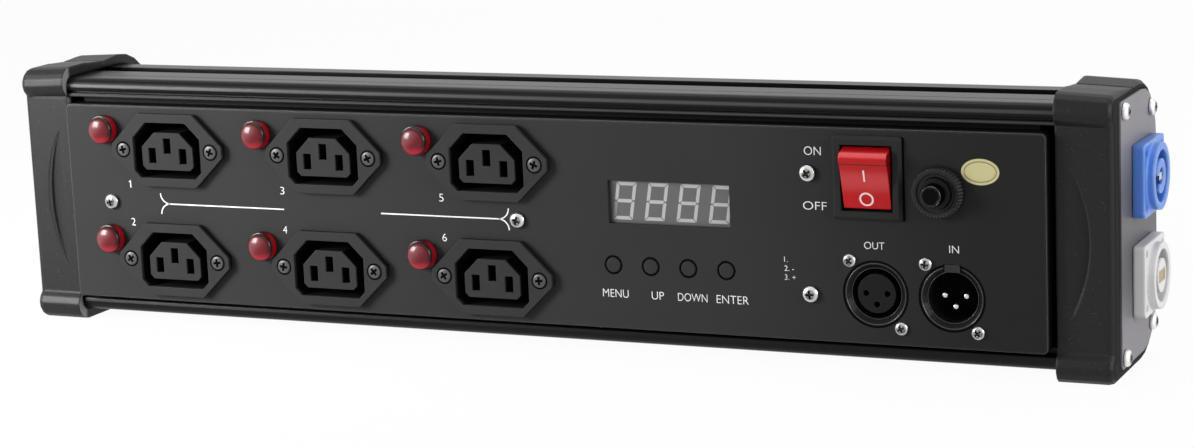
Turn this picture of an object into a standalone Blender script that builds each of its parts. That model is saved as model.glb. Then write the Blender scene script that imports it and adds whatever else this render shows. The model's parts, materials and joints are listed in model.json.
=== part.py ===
# Six-way switch pack for stage lighting: an aluminium bar housing with a raised front panel, mains
# outlets with indicator lamps, a display with four keys, a power rocker, a reset breaker, two signal
# connectors, and power connectors on the right end plate.
# Units are metres. The model's X runs along the bar, the front faces -Y and +Z is up.
# Everything is first laid out from the middle of the front panel's face (x = 0, y = 0, z = 0), and one
# empty then carries the whole assembly so that it stands on the end caps with its box centred.

import math

import bmesh
import bpy
import numpy as np
from mathutils import Matrix, Vector
from mathutils.geometry import tessellate_polygon

# Fits shared by every piece
GAP = 0.0003
OVERCUT = 0.001
EMBED = 0.0005
CLEARANCE_HOLE = 0.0003

# Housing section, measured in Y (depth) and Z (height). The rails run above and below the panel.
RAIL_ABOVE = 0.0095
RAIL_BELOW = 0.0072
HOUSING_BACK = 0.0630
HOUSING_WALL = 0.0020
REAR_RADIUS = 0.0200
NOSE_FRONT = 0.0050
NOSE_RADIUS = 0.0036
NOSE_SWEEP = 200.0
LIP_FRONT = 0.0055
LIP_THICKNESS = 0.0014
LIP_RECESS = 0.0012
TOP_LINE_Y = 0.0150
TOP_LINE_WIDTH = 0.0005
TOP_LINE_DEPTH = 0.0004

# Hanging slot along the housing's top, for a square nut or a hexagon bolt head
SLOT_Y = 0.03075
SLOT_MOUTH = 0.0105
SLOT_LIP = 0.0022
SLOT_CAVITY = 0.0175
SLOT_DEPTH = 0.0075

# Screw channels in the housing's corners
SCREW_RADIUS = 0.00135
SCREW_HEAD_RADIUS = 0.0032
SCREW_HEAD_HEIGHT = 0.0021
SCREW_HEAD_RIM = 0.0006
SCREW_LENGTH = 0.0160
FRONT_CHANNEL_Y = 0.0165
CHANNEL_INSET = 0.0037
REAR_CHANNEL_INSET = 0.0034
CHANNEL_WEB = 0.0024

# End caps and end plates, measured from the middle outwards
CAP_PANEL_GAP = 0.0020
CAP_WIDTH = 0.0206
CAP_WALL = 0.0042
CAP_TAPER = 0.0010
CAP_FLAT_FRONT = 0.0045
CAP_FRONT_WALL = 0.0040
CAP_WEB = 0.0031
CAP_EDGE_ROUND = 0.0026
HORN_FRONT = 0.0020
HORN_RADIUS = 0.00625
CAP_DIP_START = 0.0196
CAP_DIP_STEP = 0.0002
CAP_DIP_DEPTH = 0.0011
CAP_GROOVE_Y = 0.0320
CAP_GROOVE_WIDTH = 0.0013
CAP_GROOVE_DEPTH = 0.0021
CAP_DIP_END = 0.0450
GRIP_INSET = 0.0040
GRIP_BULGE = 0.0080
GRIP_END_MARGIN = 0.0103
GRIP_DEPTH = 0.0020
WINDOW_FRONT = 0.0150
WINDOW_BACK = 0.0580
WINDOW_END_MARGIN = 0.0063
PLATE_THICKNESS = 0.0015
PLATE_FRONT = 0.0125
PLATE_PROUD = 0.0006
PLATE_CHAMFER = 0.0012

# Front panel, a folded tray
PANEL_LENGTH = 0.4032
PANEL_HEIGHT = 0.0786
PANEL_THICKNESS = 0.0015
PANEL_CORNER = 0.0020
PANEL_EDGE_ROUND = 0.0007
TRAY_DEPTH = 0.0094
FLANGE_REACH = 0.0039
FLANGE_SIDE_MARGIN = 0.0040
PANEL_REVEAL = 0.0020

# Mains outlets, in three columns and two rows. Each share is of the panel's length, from its middle,
# and each margin is from the panel's upper or lower edge.
OUTLET_FIRST_SHARE = -0.38120
OUTLET_PITCH_SHARE = 0.17411
OUTLET_ROW_MARGIN = 0.0172
OUTLET_FLANGE_LENGTH = 0.0502
OUTLET_FLANGE_FLAT = 0.0250
OUTLET_FLANGE_HEIGHT = 0.0290
OUTLET_FLANGE_THICKNESS = 0.0024
OUTLET_FLANGE_TIP = 0.0044
OUTLET_CAVITY_LENGTH = 0.0308
OUTLET_CAVITY_HEIGHT = 0.0222
OUTLET_CAVITY_TOP_CHAMFER = 0.0062
OUTLET_CAVITY_LOW_CHAMFER = 0.0028
OUTLET_CAVITY_DEPTH = 0.0165
OUTLET_SHELL = 0.0012
OUTLET_BODY_DEPTH = 0.0250
OUTLET_CORE_LENGTH = 0.0232
OUTLET_CORE_HEIGHT = 0.0149
OUTLET_CORE_TOP_CHAMFER = 0.0058
OUTLET_CORE_LOW_CHAMFER = 0.0016
OUTLET_CORE_SETBACK = 0.0006
OUTLET_CORE_DROP = 0.0004
CONTACT_SLOT_WIDTH = 0.0034
CONTACT_SLOT_HEIGHT = 0.0062
CONTACT_SLOT_DEPTH = 0.0140
CONTACT_PITCH = 0.0070
CONTACT_RISE = 0.0040
CONTACT_ROW_DROP = 0.0022
BLADE_THICKNESS = 0.0010
BLADE_WIDTH = 0.0060
BLADE_LENGTH = 0.0080

# Indicator lamps, placed from their outlet's middle
LAMP_OFFSET_X = -0.0297
LAMP_OFFSET_Z = 0.0076
LAMP_RADIUS = 0.0057
LAMP_RIM = 0.0034
LAMP_STEP_RADIUS = 0.0054
LAMP_DOME_HEIGHT = 0.0024
LAMP_BODY_RADIUS = 0.0046
LAMP_BODY_DEPTH = 0.0150

# Display, seen through a window in the panel
DISPLAY_SHARE = 0.14707
DISPLAY_Z = 0.0088
DISPLAY_LENGTH = 0.0503
DISPLAY_HEIGHT = 0.0190
DISPLAY_DEPTH = 0.0080
WINDOW_LENGTH = 0.0482
WINDOW_HEIGHT = 0.0162
DISPLAY_SETBACK = 0.0003

# Four keys below the display
KEY_FIRST_OFFSET = -0.0230
KEY_PITCH = 0.0150
KEY_Z = -0.0150
KEY_RADIUS = 0.0034
KEY_PROUD = 0.0004
KEY_COLLAR_RADIUS = 0.0043
KEY_COLLAR = 0.0010
KEY_TRAVEL = 0.0005
KEY_SWITCH_SIZE = 0.0070
KEY_SWITCH_HEIGHT = 0.0040
KEY_NAMES = ("key_menu", "key_up", "key_down", "key_enter")

# Power rocker, whose outline is given from its pin in the off position: out is towards the front
ROCKER_SHARE = 0.33879
ROCKER_TOP_MARGIN = 0.0178
ROCKER_PIVOT_Y = 0.0025
ROCKER_FRAME_LENGTH = 0.0304
ROCKER_FRAME_WIDTH = 0.0260
ROCKER_FRAME_THICKNESS = 0.0017
ROCKER_FRAME_CORNER = 0.0010
ROCKER_FRAME_BEVEL = 0.0011
ROCKER_WIDTH = 0.0180
ROCKER_SIDE_GAP = 0.00075
ROCKER_END_GAP = 0.0009
ROCKER_ROLL_RADIUS = 0.0025
ROCKER_ROLL_OUT = 0.0063
ROCKER_ROLL_RISE = 0.0075
ROCKER_END_OUT = 0.0032
ROCKER_END_RISE = 0.0113
ROCKER_LOW_OUT = 0.0035
ROCKER_LOW_DROP = 0.0111
ROCKER_LOW_EDGE = 0.0019
ROCKER_FACE_SAG = 0.0003
ROCKER_UNDERSIDE = 0.0022
ROCKER_UNDERSIDE_HALF = 0.0025
ROCKER_PIN_RADIUS = 0.0014
ROCKER_PIN_LENGTH = 0.0014
ROCKER_BODY_WIDTH = 0.0228
ROCKER_BODY_LENGTH = 0.0276
ROCKER_BODY_DEPTH = 0.0230
ROCKER_CAVITY_DEPTH = 0.0080

# Resettable breaker
BREAKER_OFFSET = 0.0261
BREAKER_Z = 0.0175
BREAKER_NUT_RADIUS = 0.0094
BREAKER_NUT_THICKNESS = 0.0034
BREAKER_KNURLS = 28
BREAKER_KNURL_DEPTH = 0.0005
BREAKER_NECK_RADIUS = 0.0056
BREAKER_NECK_FRONT = 0.0056
BREAKER_BODY_WIDTH = 0.0140
BREAKER_BODY_HEIGHT = 0.0280
BREAKER_BODY_DEPTH = 0.0260
BREAKER_BUTTON_RADIUS = 0.0038
BREAKER_BUTTON_FRONT = 0.0095
BREAKER_BUTTON_DEPTH = 0.0030
BREAKER_TRAVEL = 0.0040

# Signal connectors, fixed behind the panel
SIGNAL_OUT_OFFSET = 0.0019
SIGNAL_PITCH = 0.0284
SIGNAL_LOW_MARGIN = 0.0185
CONNECTOR_FLANGE_WIDTH = 0.0260
CONNECTOR_FLANGE_HEIGHT = 0.0310
CONNECTOR_FLANGE_CORNER = 0.0030
SIGNAL_FLANGE_THICKNESS = 0.0020
SIGNAL_RING_RADIUS = 0.0120
SIGNAL_RING_SETBACK = 0.0002
SIGNAL_MOUTH_RADIUS = 0.0109
SIGNAL_MOUTH_DEPTH = 0.0016
SIGNAL_CAVITY_RADIUS = 0.0094
SIGNAL_CAVITY_DEPTH = 0.0130
SIGNAL_BODY_RADIUS = 0.0110
SIGNAL_BODY_DEPTH = 0.0200
SIGNAL_CORE_RADIUS = 0.0072
SIGNAL_CORE_SETBACK = 0.0012
SIGNAL_PIN_CIRCLE = 0.0040
SIGNAL_PIN_RADIUS = 0.0011
SIGNAL_PIN_SETBACK = 0.0045
SIGNAL_HOLE_RADIUS = 0.0012
SIGNAL_HOLE_DEPTH = 0.0090

# Power connectors on the right end plate, measured in Y and Z
POWER_Y = 0.0418
POWER_IN_Z = 0.0180
POWER_OUT_Z = -0.0181
POWER_FLANGE_DEPTH = 0.0290
POWER_FLANGE_HEIGHT = 0.0262
POWER_FLANGE_CORNER = 0.0015
POWER_FLANGE_THICKNESS = 0.0042
POWER_RING_RADIUS = 0.0121
POWER_RING_HEIGHT = 0.0028
POWER_CAVITY_RADIUS = 0.0096
POWER_CAVITY_DEPTH = 0.0150
POWER_BODY_RADIUS = 0.0117
POWER_BODY_DEPTH = 0.0240
POWER_CORE_RADIUS = 0.0062
POWER_CORE_SETBACK = 0.0016
POWER_CORE_BORE = 0.0034
POWER_KEY_WIDTH = 0.0046
POWER_KEY_DROP = 0.0010

# Boards and what they carry
BOARD_THICKNESS = 0.0016
CONTROL_BOARD_GAP = 0.0027
CONTROL_BOARD_MARGIN = 0.0060
CONTROL_TONGUE_MARGIN = 0.0057
CONTROL_TONGUE_HALF_HEIGHT = 0.0060
CONTROL_BOARD_HALF_HEIGHT = 0.0280
RELAY_BOARD_Y = 0.0370
RELAY_BOARD_LEFT_MARGIN = 0.0077
RELAY_BOARD_RIGHT_MARGIN = 0.0083
RELAY_BOARD_HALF_HEIGHT = 0.0270
RELAY_FIRST_OFFSET = 0.0173
RELAY_PITCH = 0.0270
RELAY_LENGTH = 0.0190
RELAY_HEIGHT = 0.0156
RELAY_DEPTH = 0.0154
RELAY_Z = 0.0100
TERMINAL_LENGTH = 0.1500
TERMINAL_HEIGHT = 0.0090
TERMINAL_DEPTH = 0.0110
TERMINAL_Z = -0.0160
TERMINAL_WAYS = 12
TERMINAL_HOLE = 0.0024
SUPPLY_LENGTH = 0.0440
SUPPLY_HEIGHT = 0.0260
SUPPLY_DEPTH = 0.0190
SUPPLY_OFFSET = 0.0047
STANDOFF_RADIUS = 0.0032
STANDOFF_BORE = 0.0017
STANDOFF_BORE_DEPTH = 0.0060
STUD_RADIUS = 0.0013
STUD_REACH = 0.0010
PANEL_SCREW_LENGTH = 0.0050

# Silver screws through the panel, each as its share of the panel's length and its height
PANEL_SCREW_SHARES = {
    "left": (-0.45213, 0.0003),
    "middle": (-0.00570, 0.0003),
    "upper_right": (0.28274, 0.0225),
    "lower_right": (0.28274, -0.0219),
}

# How finely round pieces are faceted
COARSE = 12
MEDIUM = 20
FINE = 28
ARC_STEPS = 6
SHARP_ANGLE = math.radians(35.0)
ROUND_PROFILE = 0.5

# Colours as linear red, green and blue, then roughness and metallic
FINISHES = {
    "anodised": ((0.022, 0.022, 0.024), 0.38, 0.60),
    "panel_paint": ((0.030, 0.031, 0.033), 0.50, 0.0),
    "cap_plastic": ((0.020, 0.020, 0.021), 0.62, 0.0),
    "outlet_plastic": ((0.028, 0.028, 0.029), 0.48, 0.0),
    "lamp_lens": ((0.55, 0.010, 0.015), 0.12, 0.0),
    "display_face": ((0.16, 0.16, 0.165), 0.35, 0.0),
    "key_plastic": ((0.015, 0.015, 0.016), 0.40, 0.0),
    "rocker_plastic": ((0.60, 0.012, 0.012), 0.22, 0.0),
    "connector_plastic": ((0.012, 0.012, 0.013), 0.42, 0.0),
    "inlet_plastic": ((0.040, 0.150, 0.620), 0.38, 0.0),
    "outlet_grey": ((0.60, 0.60, 0.62), 0.40, 0.0),
    "nickel": ((0.62, 0.60, 0.56), 0.25, 1.0),
    "brass": ((0.55, 0.42, 0.18), 0.32, 1.0),
    "board": ((0.020, 0.120, 0.050), 0.45, 0.0),
    "relay_plastic": ((0.030, 0.110, 0.420), 0.35, 0.0),
    "supply_plastic": ((0.040, 0.040, 0.042), 0.50, 0.0),
}

# Values that follow from the sizes above
PANEL_TOP = PANEL_HEIGHT / 2
HOUSING_TOP = PANEL_TOP + RAIL_ABOVE
HOUSING_BOTTOM = PANEL_TOP + RAIL_BELOW
GRIP_HALF_HEIGHT = PANEL_TOP - GRIP_END_MARGIN
WINDOW_HALF_HEIGHT = PANEL_TOP - WINDOW_END_MARGIN
LIP_INNER = PANEL_TOP + PANEL_REVEAL
LIP_OUTER = LIP_INNER + LIP_THICKNESS
FLANGE_TOP = PANEL_TOP + FLANGE_REACH
FLANGE_FRONT = TRAY_DEPTH - PANEL_THICKNESS
BEHIND_PANEL = PANEL_THICKNESS + GAP
BEFORE_PANEL = -GAP
CAP_INNER_X = PANEL_LENGTH / 2 + CAP_PANEL_GAP
CAP_OUTER_X = CAP_INNER_X + CAP_WIDTH
GRIP_CHORD_X = CAP_INNER_X + GRIP_INSET
PLATE_OUTER_X = CAP_OUTER_X + PLATE_PROUD
PLATE_INNER_X = PLATE_OUTER_X - PLATE_THICKNESS
WEB_OUTER_X = PLATE_INNER_X - GAP
WEB_INNER_X = WEB_OUTER_X - CAP_WEB
HOUSING_END_X = WEB_INNER_X - GAP
REAR_CENTRE_Y = HOUSING_BACK - REAR_RADIUS
REAR_CHANNEL_REACH = (REAR_RADIUS - REAR_CHANNEL_INSET) * math.sqrt(0.5)
CHANNEL_RADIUS = SCREW_RADIUS + CLEARANCE_HOLE
TROUGH_FRONT = SLOT_Y - SLOT_CAVITY / 2 - HOUSING_WALL
TROUGH_BACK = SLOT_Y + SLOT_CAVITY / 2 + HOUSING_WALL
TROUGH_UNDER = HOUSING_TOP - SLOT_LIP - SLOT_DEPTH - HOUSING_WALL
DISPLAY_FRONT_Y = PANEL_THICKNESS + DISPLAY_SETBACK
CONTROL_BOARD_Y = DISPLAY_FRONT_Y + DISPLAY_DEPTH + GAP
POWER_FACE_X = PLATE_OUTER_X + GAP + POWER_FLANGE_THICKNESS + POWER_RING_HEIGHT

# Places on the panel
OUTLET_ROW_Z = PANEL_TOP - OUTLET_ROW_MARGIN
ROCKER_Z = PANEL_TOP - ROCKER_TOP_MARGIN
SIGNAL_Z = SIGNAL_LOW_MARGIN - PANEL_TOP
PANEL_SCREWS = {
    key: (PANEL_LENGTH * share, height) for key, (share, height) in PANEL_SCREW_SHARES.items()
}
OUTLET_FIRST_X = PANEL_LENGTH * OUTLET_FIRST_SHARE
OUTLET_PITCH = PANEL_LENGTH * OUTLET_PITCH_SHARE
OUTLET_BODY_LENGTH = OUTLET_CAVITY_LENGTH + 2 * OUTLET_SHELL
DISPLAY_X = PANEL_LENGTH * DISPLAY_SHARE
KEY_FIRST_X = DISPLAY_X + KEY_FIRST_OFFSET
ROCKER_X = PANEL_LENGTH * ROCKER_SHARE
ROCKER_OPENING_WIDTH = ROCKER_WIDTH + 2 * ROCKER_SIDE_GAP
ROCKER_OPENING_LENGTH = 2 * (ROCKER_LOW_DROP + ROCKER_END_GAP)
BREAKER_X = ROCKER_X + BREAKER_OFFSET
SIGNAL_OUT_X = ROCKER_X + SIGNAL_OUT_OFFSET
SIGNAL_IN_X = SIGNAL_OUT_X + SIGNAL_PITCH
CONTROL_BOARD_LEFT = OUTLET_FIRST_X + 2 * OUTLET_PITCH + OUTLET_BODY_LENGTH / 2 + CONTROL_BOARD_GAP
CONTROL_BOARD_RIGHT = PANEL_SCREWS["upper_right"][0] + CONTROL_BOARD_MARGIN
CONTROL_TONGUE_LEFT = PANEL_SCREWS["middle"][0] - CONTROL_TONGUE_MARGIN
RELAY_BOARD_LEFT = PANEL_SCREWS["left"][0] - RELAY_BOARD_LEFT_MARGIN
RELAY_BOARD_RIGHT = PANEL_SCREWS["middle"][0] + RELAY_BOARD_RIGHT_MARGIN
RELAY_FIRST_X = PANEL_SCREWS["left"][0] + RELAY_FIRST_OFFSET
SUPPLY_X = DISPLAY_X + SUPPLY_OFFSET

# Corners of the housing's section that take the plate screws, as (y, z)
CHANNELS = {
    "upper_front": (FRONT_CHANNEL_Y, HOUSING_TOP - CHANNEL_INSET),
    "lower_front": (FRONT_CHANNEL_Y, -HOUSING_BOTTOM + CHANNEL_INSET),
    "upper_back": (
        REAR_CENTRE_Y + REAR_CHANNEL_REACH,
        HOUSING_TOP - REAR_RADIUS + REAR_CHANNEL_REACH,
    ),
    "lower_back": (
        REAR_CENTRE_Y + REAR_CHANNEL_REACH,
        -HOUSING_BOTTOM + REAR_RADIUS - REAR_CHANNEL_REACH,
    ),
}

OUTLETS = [
    (OUTLET_FIRST_X + column * OUTLET_PITCH, row * OUTLET_ROW_Z)
    for column in range(3)
    for row in (1, -1)
]


# Outline tools


def arc(centre, radius, start, end, steps=ARC_STEPS):
    """Points on an arc, from the start angle to the end angle in degrees."""
    angles = np.radians(np.linspace(start, end, steps + 1))
    return [(centre[0] + radius * math.cos(a), centre[1] + radius * math.sin(a)) for a in angles]


def circle(centre, radius, steps=COARSE):
    return arc(centre, radius, 0.0, 360.0, steps)[:-1]


def rectangle(centre, width, height, corner=0.0, steps=2):
    """A rectangle, with round corners where a corner radius is given."""
    half_w = width / 2 - corner
    half_h = height / 2 - corner
    points = []
    for index, (side_w, side_h) in enumerate(((1, 1), (-1, 1), (-1, -1), (1, -1))):
        pivot = (centre[0] + side_w * half_w, centre[1] + side_h * half_h)
        if corner:
            points += arc(pivot, corner, 90.0 * index, 90.0 * index + 90.0, steps)
        else:
            points.append(pivot)
    return points


def cut_rectangle(centre, width, height, top_cut, low_cut):
    """A rectangle whose corners are cut off, more at the top than at the bottom."""
    x, z = centre
    half_w = width / 2
    half_h = height / 2
    return [
        (x + half_w, z + half_h - top_cut),
        (x + half_w - top_cut, z + half_h),
        (x - half_w + top_cut, z + half_h),
        (x - half_w, z + half_h - top_cut),
        (x - half_w, z - half_h + low_cut),
        (x - half_w + low_cut, z - half_h),
        (x + half_w - low_cut, z - half_h),
        (x + half_w, z - half_h + low_cut),
    ]


def mirrored(points):
    """The same outline below the middle line, in the opposite order."""
    return [(a, -b) for a, b in reversed(points)]


# Solid tools


def place(a, b, along, axis):
    """A point of an outline, set on the axis that the outline is swept along."""
    if axis == "X":
        return (along, a, b)
    if axis == "Y":
        return (a, along, b)
    return (a, b, along)


def new_object(name, mesh):
    thing = bpy.data.objects.new(name, mesh)
    bpy.context.scene.collection.objects.link(thing)
    return thing


def clean_normals(mesh):
    work = bmesh.new()
    work.from_mesh(mesh)
    bmesh.ops.recalc_face_normals(work, faces=work.faces)
    work.to_mesh(mesh)
    work.free()


def prism(name, outline, low, high, axis="Y", holes=(), far=None):
    """A solid swept from an outline, with through holes of the given outlines.

    The far outline, if there is one, has the same number of points and gives the other end.
    """
    loops = [list(outline)] + [list(hole) for hole in holes]
    flat = [point for loop in loops for point in loop]
    count = len(flat)
    verts = [place(a, b, low, axis) for a, b in flat]
    verts += [place(a, b, high, axis) for a, b in (far or flat)]
    faces = []
    first = 0
    for loop in loops:
        size = len(loop)
        for index in range(size):
            here = first + index
            after = first + (index + 1) % size
            faces.append((here, after, after + count, here + count))
        first += size
    if len(loops) == 1:
        faces.append(tuple(range(count)))
        faces.append(tuple(range(count, 2 * count)))
    else:
        triangles = tessellate_polygon([[Vector((a, b, 0.0)) for a, b in loop] for loop in loops])
        faces += [tuple(triangle) for triangle in triangles]
        faces += [tuple(index + count for index in triangle) for triangle in triangles]
    mesh = bpy.data.meshes.new(name)
    mesh.from_pydata(verts, [], faces)
    clean_normals(mesh)
    return new_object(name, mesh)


def turned(name, profile, centre, axis="Y", steps=MEDIUM):
    """A turned solid. Each point of the profile is (radius, place along the axis)."""
    rings = []
    verts = []
    for radius, along in profile:
        if radius == 0.0:
            rings.append([len(verts)])
            verts.append(place(centre[0], centre[1], along, axis))
            continue
        ring = circle(centre, radius, steps)
        rings.append(list(range(len(verts), len(verts) + steps)))
        verts += [place(a, b, along, axis) for a, b in ring]
    closed = len(rings[0]) > 1
    pairs = list(zip(rings, rings[1:]))
    if closed:
        pairs.append((rings[-1], rings[0]))
    faces = []
    for one, two in pairs:
        for index in range(steps):
            after = (index + 1) % steps
            if len(one) == 1:
                faces.append((one[0], two[index], two[after]))
            elif len(two) == 1:
                faces.append((one[index], one[after], two[0]))
            else:
                faces.append((one[index], one[after], two[after], two[index]))
    mesh = bpy.data.meshes.new(name)
    mesh.from_pydata(verts, [], faces)
    clean_normals(mesh)
    return new_object(name, mesh)


def box(name, low, high):
    return prism(name, rectangle(((low[0] + high[0]) / 2, (low[2] + high[2]) / 2),
                                 high[0] - low[0], high[2] - low[2]), low[1], high[1])


def join_cutters(name, cutters):
    """Several separate cutters, as one object."""
    verts = []
    faces = []
    for cutter in cutters:
        start = len(verts)
        verts += [tuple(vertex.co) for vertex in cutter.data.vertices]
        faces += [tuple(start + index for index in face.vertices) for face in cutter.data.polygons]
        bpy.data.objects.remove(cutter)
    mesh = bpy.data.meshes.new(name)
    mesh.from_pydata(verts, [], faces)
    return new_object(name, mesh)


def settle(thing):
    """Keep the shape that the object's modifiers give, as its own mesh."""
    bpy.context.view_layer.update()
    graph = bpy.context.evaluated_depsgraph_get()
    mesh = bpy.data.meshes.new_from_object(thing.evaluated_get(graph))
    thing.modifiers.clear()
    thing.data = mesh
    return thing


def combine(thing, others, operation):
    for other in others:
        other.hide_render = True
        other.display_type = "WIRE"
        step = thing.modifiers.new(other.name, "BOOLEAN")
        step.operation = operation
        step.solver = "EXACT"
        step.object = other
    settle(thing)
    for other in others:
        bpy.data.objects.remove(other)
    return thing


def carve(thing, *cutters):
    return combine(thing, cutters, "DIFFERENCE")


def fuse(thing, *pieces):
    return combine(thing, pieces, "UNION")


def round_edges(thing, wanted, width, segments):
    """Round every edge whose two end points pass the test."""
    work = bmesh.new()
    work.from_mesh(thing.data)
    edges = [edge for edge in work.edges if all(wanted(vertex.co) for vertex in edge.verts)]
    bmesh.ops.bevel(
        work, geom=edges, offset=width, offset_type="OFFSET", segments=segments,
        profile=ROUND_PROFILE, affect="EDGES", clamp_overlap=True,
    )
    work.to_mesh(thing.data)
    work.free()
    return thing


def flipped(name, thing):
    """A copy of a piece, mirrored to the bar's other end."""
    mesh = thing.data.copy()
    mesh.transform(Matrix.Scale(-1.0, 4, Vector((1.0, 0.0, 0.0))))
    mesh.flip_normals()
    return new_object(name, mesh)


def moved_copy(name, thing, offset):
    mesh = thing.data.copy()
    mesh.transform(Matrix.Translation(Vector(offset)))
    return new_object(name, mesh)


# Materials


def finish(name):
    material = bpy.data.materials.get(name)
    if material:
        return material
    colour, roughness, metallic = FINISHES[name]
    material = bpy.data.materials.new(name)
    material.use_nodes = True
    shader = material.node_tree.nodes["Principled BSDF"]
    shader.inputs["Base Color"].default_value = (*colour, 1.0)
    shader.inputs["Roughness"].default_value = roughness
    shader.inputs["Metallic"].default_value = metallic
    material.diffuse_color = (*colour, 1.0)
    return material


def dress(thing, finish_name, smooth=False):
    """Give a piece its material, and smooth shading where it is round."""
    thing.data.materials.clear()
    thing.data.materials.append(finish(finish_name))
    if smooth:
        thing.data.shade_smooth()
        thing.data.set_sharp_from_angle(angle=SHARP_ANGLE)
    return thing


# Housing


def rail_outline(edge, with_top_line):
    """One front rail of the housing, from its outer face round the nose to the screw block."""
    nose_centre = (NOSE_FRONT + NOSE_RADIUS, edge - NOSE_RADIUS)
    points = []
    if with_top_line:
        points += [
            (TOP_LINE_Y + TOP_LINE_WIDTH / 2, edge),
            (TOP_LINE_Y, edge - TOP_LINE_DEPTH),
            (TOP_LINE_Y - TOP_LINE_WIDTH / 2, edge),
        ]
    nose = arc(nose_centre, NOSE_RADIUS, 90.0, NOSE_SWEEP)
    points += nose
    if nose[-1][1] - LIP_OUTER > 2 * GAP:
        points += [
            (LIP_FRONT + LIP_RECESS, nose[-1][1] - GAP),
            (LIP_FRONT + LIP_RECESS, LIP_OUTER + GAP),
            (LIP_FRONT, LIP_OUTER),
        ]
    points += [
        (LIP_FRONT, LIP_INNER),
        (FLANGE_FRONT - GAP, LIP_INNER),
        (FLANGE_FRONT - GAP, FLANGE_TOP + GAP),
        (TRAY_DEPTH + GAP, FLANGE_TOP + GAP),
        (TRAY_DEPTH + GAP, edge - CHANNEL_INSET - CHANNEL_RADIUS - CHANNEL_WEB),
    ]
    return points


def housing_outline():
    """The housing's whole section: outer skin, hanging slot, rails, screw blocks and inner skin."""
    top = HOUSING_TOP
    low = -HOUSING_BOTTOM
    slot_roof = top - SLOT_LIP
    slot_floor = slot_roof - SLOT_DEPTH
    inner_back = HOUSING_BACK - HOUSING_WALL
    inner_top = top - HOUSING_WALL
    inner_low = low + HOUSING_WALL
    block_back = FRONT_CHANNEL_Y + CHANNEL_RADIUS + CHANNEL_WEB
    upper_rail = rail_outline(top, True)
    lower_rail = mirrored(rail_outline(HOUSING_BOTTOM, False))
    skin = []
    skin += arc((REAR_CENTRE_Y, low + REAR_RADIUS), REAR_RADIUS, -90.0, 0.0)
    skin += arc((REAR_CENTRE_Y, top - REAR_RADIUS), REAR_RADIUS, 0.0, 90.0)
    slot = [
        (SLOT_Y + SLOT_MOUTH / 2, top),
        (SLOT_Y + SLOT_MOUTH / 2, slot_roof),
        (SLOT_Y + SLOT_CAVITY / 2, slot_roof),
        (SLOT_Y + SLOT_CAVITY / 2, slot_floor),
        (SLOT_Y - SLOT_CAVITY / 2, slot_floor),
        (SLOT_Y - SLOT_CAVITY / 2, slot_roof),
        (SLOT_Y - SLOT_MOUTH / 2, slot_roof),
        (SLOT_Y - SLOT_MOUTH / 2, top),
    ]
    block_inner = upper_rail[-1][1]
    web_run = inner_back - TROUGH_BACK
    inside = [
        (TROUGH_FRONT, block_inner),
        (TROUGH_FRONT, TROUGH_UNDER),
        (TROUGH_BACK, TROUGH_UNDER),
        (TROUGH_BACK, inner_top),
        (inner_back, inner_top - web_run),
        (inner_back, inner_low + web_run),
        (TROUGH_BACK, inner_low),
        (block_back, inner_low),
        (block_back, lower_rail[0][1]),
    ]
    return skin + slot + upper_rail + inside + lower_rail


def make_housing():
    channels = [circle(centre, CHANNEL_RADIUS) for centre in CHANNELS.values()]
    housing = prism("housing_extrusion", housing_outline(), -HOUSING_END_X, HOUSING_END_X, "X", channels)
    return dress(housing, "anodised", smooth=True)


# End caps and end plates


def section_outline(front, margin):
    """The housing's outer section seen from its end, with a margin added all round."""
    top = HOUSING_TOP + margin
    low = -HOUSING_BOTTOM - margin
    radius = REAR_RADIUS + margin
    outline = arc((REAR_CENTRE_Y, low + radius), radius, -90.0, 0.0)
    outline += arc((REAR_CENTRE_Y, top - radius), radius, 0.0, 90.0)
    return outline, front, low, top


def cap_outline():
    outline, front, low, top = section_outline(CAP_FLAT_FRONT, CAP_WALL)
    centre_y = HORN_FRONT + HORN_RADIUS
    set_in = centre_y - front
    end_angle = 180.0 + math.degrees(math.acos(set_in / HORN_RADIUS))
    outline += arc((centre_y, top - HORN_RADIUS), HORN_RADIUS, 90.0, end_angle)
    outline += arc((centre_y, low + HORN_RADIUS), HORN_RADIUS, 360.0 - end_angle, 270.0)
    return outline


def cap_pocket_outline():
    """The space in the cap that the end of the housing fills, with its clearance."""
    outline, front, low, top = section_outline(NOSE_FRONT - GAP, GAP)
    radius = NOSE_RADIUS + GAP
    centre_y = NOSE_FRONT + NOSE_RADIUS
    wall_back = CAP_FLAT_FRONT + CAP_FRONT_WALL
    ledge = LIP_INNER - GAP
    outline += arc((centre_y, top - radius), radius, 90.0, 180.0)
    outline += [(front, ledge), (wall_back, ledge), (wall_back, -ledge), (front, -ledge)]
    outline += arc((centre_y, low + radius), radius, 180.0, 270.0)
    return outline


def plate_outline(margin):
    outline, front, low, top = section_outline(PLATE_FRONT - margin, margin)
    cut = PLATE_CHAMFER
    outline += [(front + cut, top), (front, top - cut), (front, low + cut), (front + cut, low)]
    return outline


def grip_cutter():
    """A crescent that is deep at its round edge and runs out at its straight one."""
    radius = (GRIP_HALF_HEIGHT ** 2 + GRIP_BULGE ** 2) / (2 * GRIP_BULGE)
    centre_x = GRIP_CHORD_X + GRIP_BULGE - radius
    half_angle = math.degrees(math.asin(GRIP_HALF_HEIGHT / radius))
    outline = arc((centre_x, 0.0), radius, -half_angle, half_angle, 2 * ARC_STEPS)
    grip = prism("grip", outline, CAP_FLAT_FRONT - OVERCUT, CAP_FLAT_FRONT)
    slope = GRIP_DEPTH / GRIP_BULGE
    for vertex in grip.data.vertices:
        if vertex.co.y > CAP_FLAT_FRONT - OVERCUT / 2:
            vertex.co.y += slope * (vertex.co.x - GRIP_CHORD_X) - GAP / 2
    return grip


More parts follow.
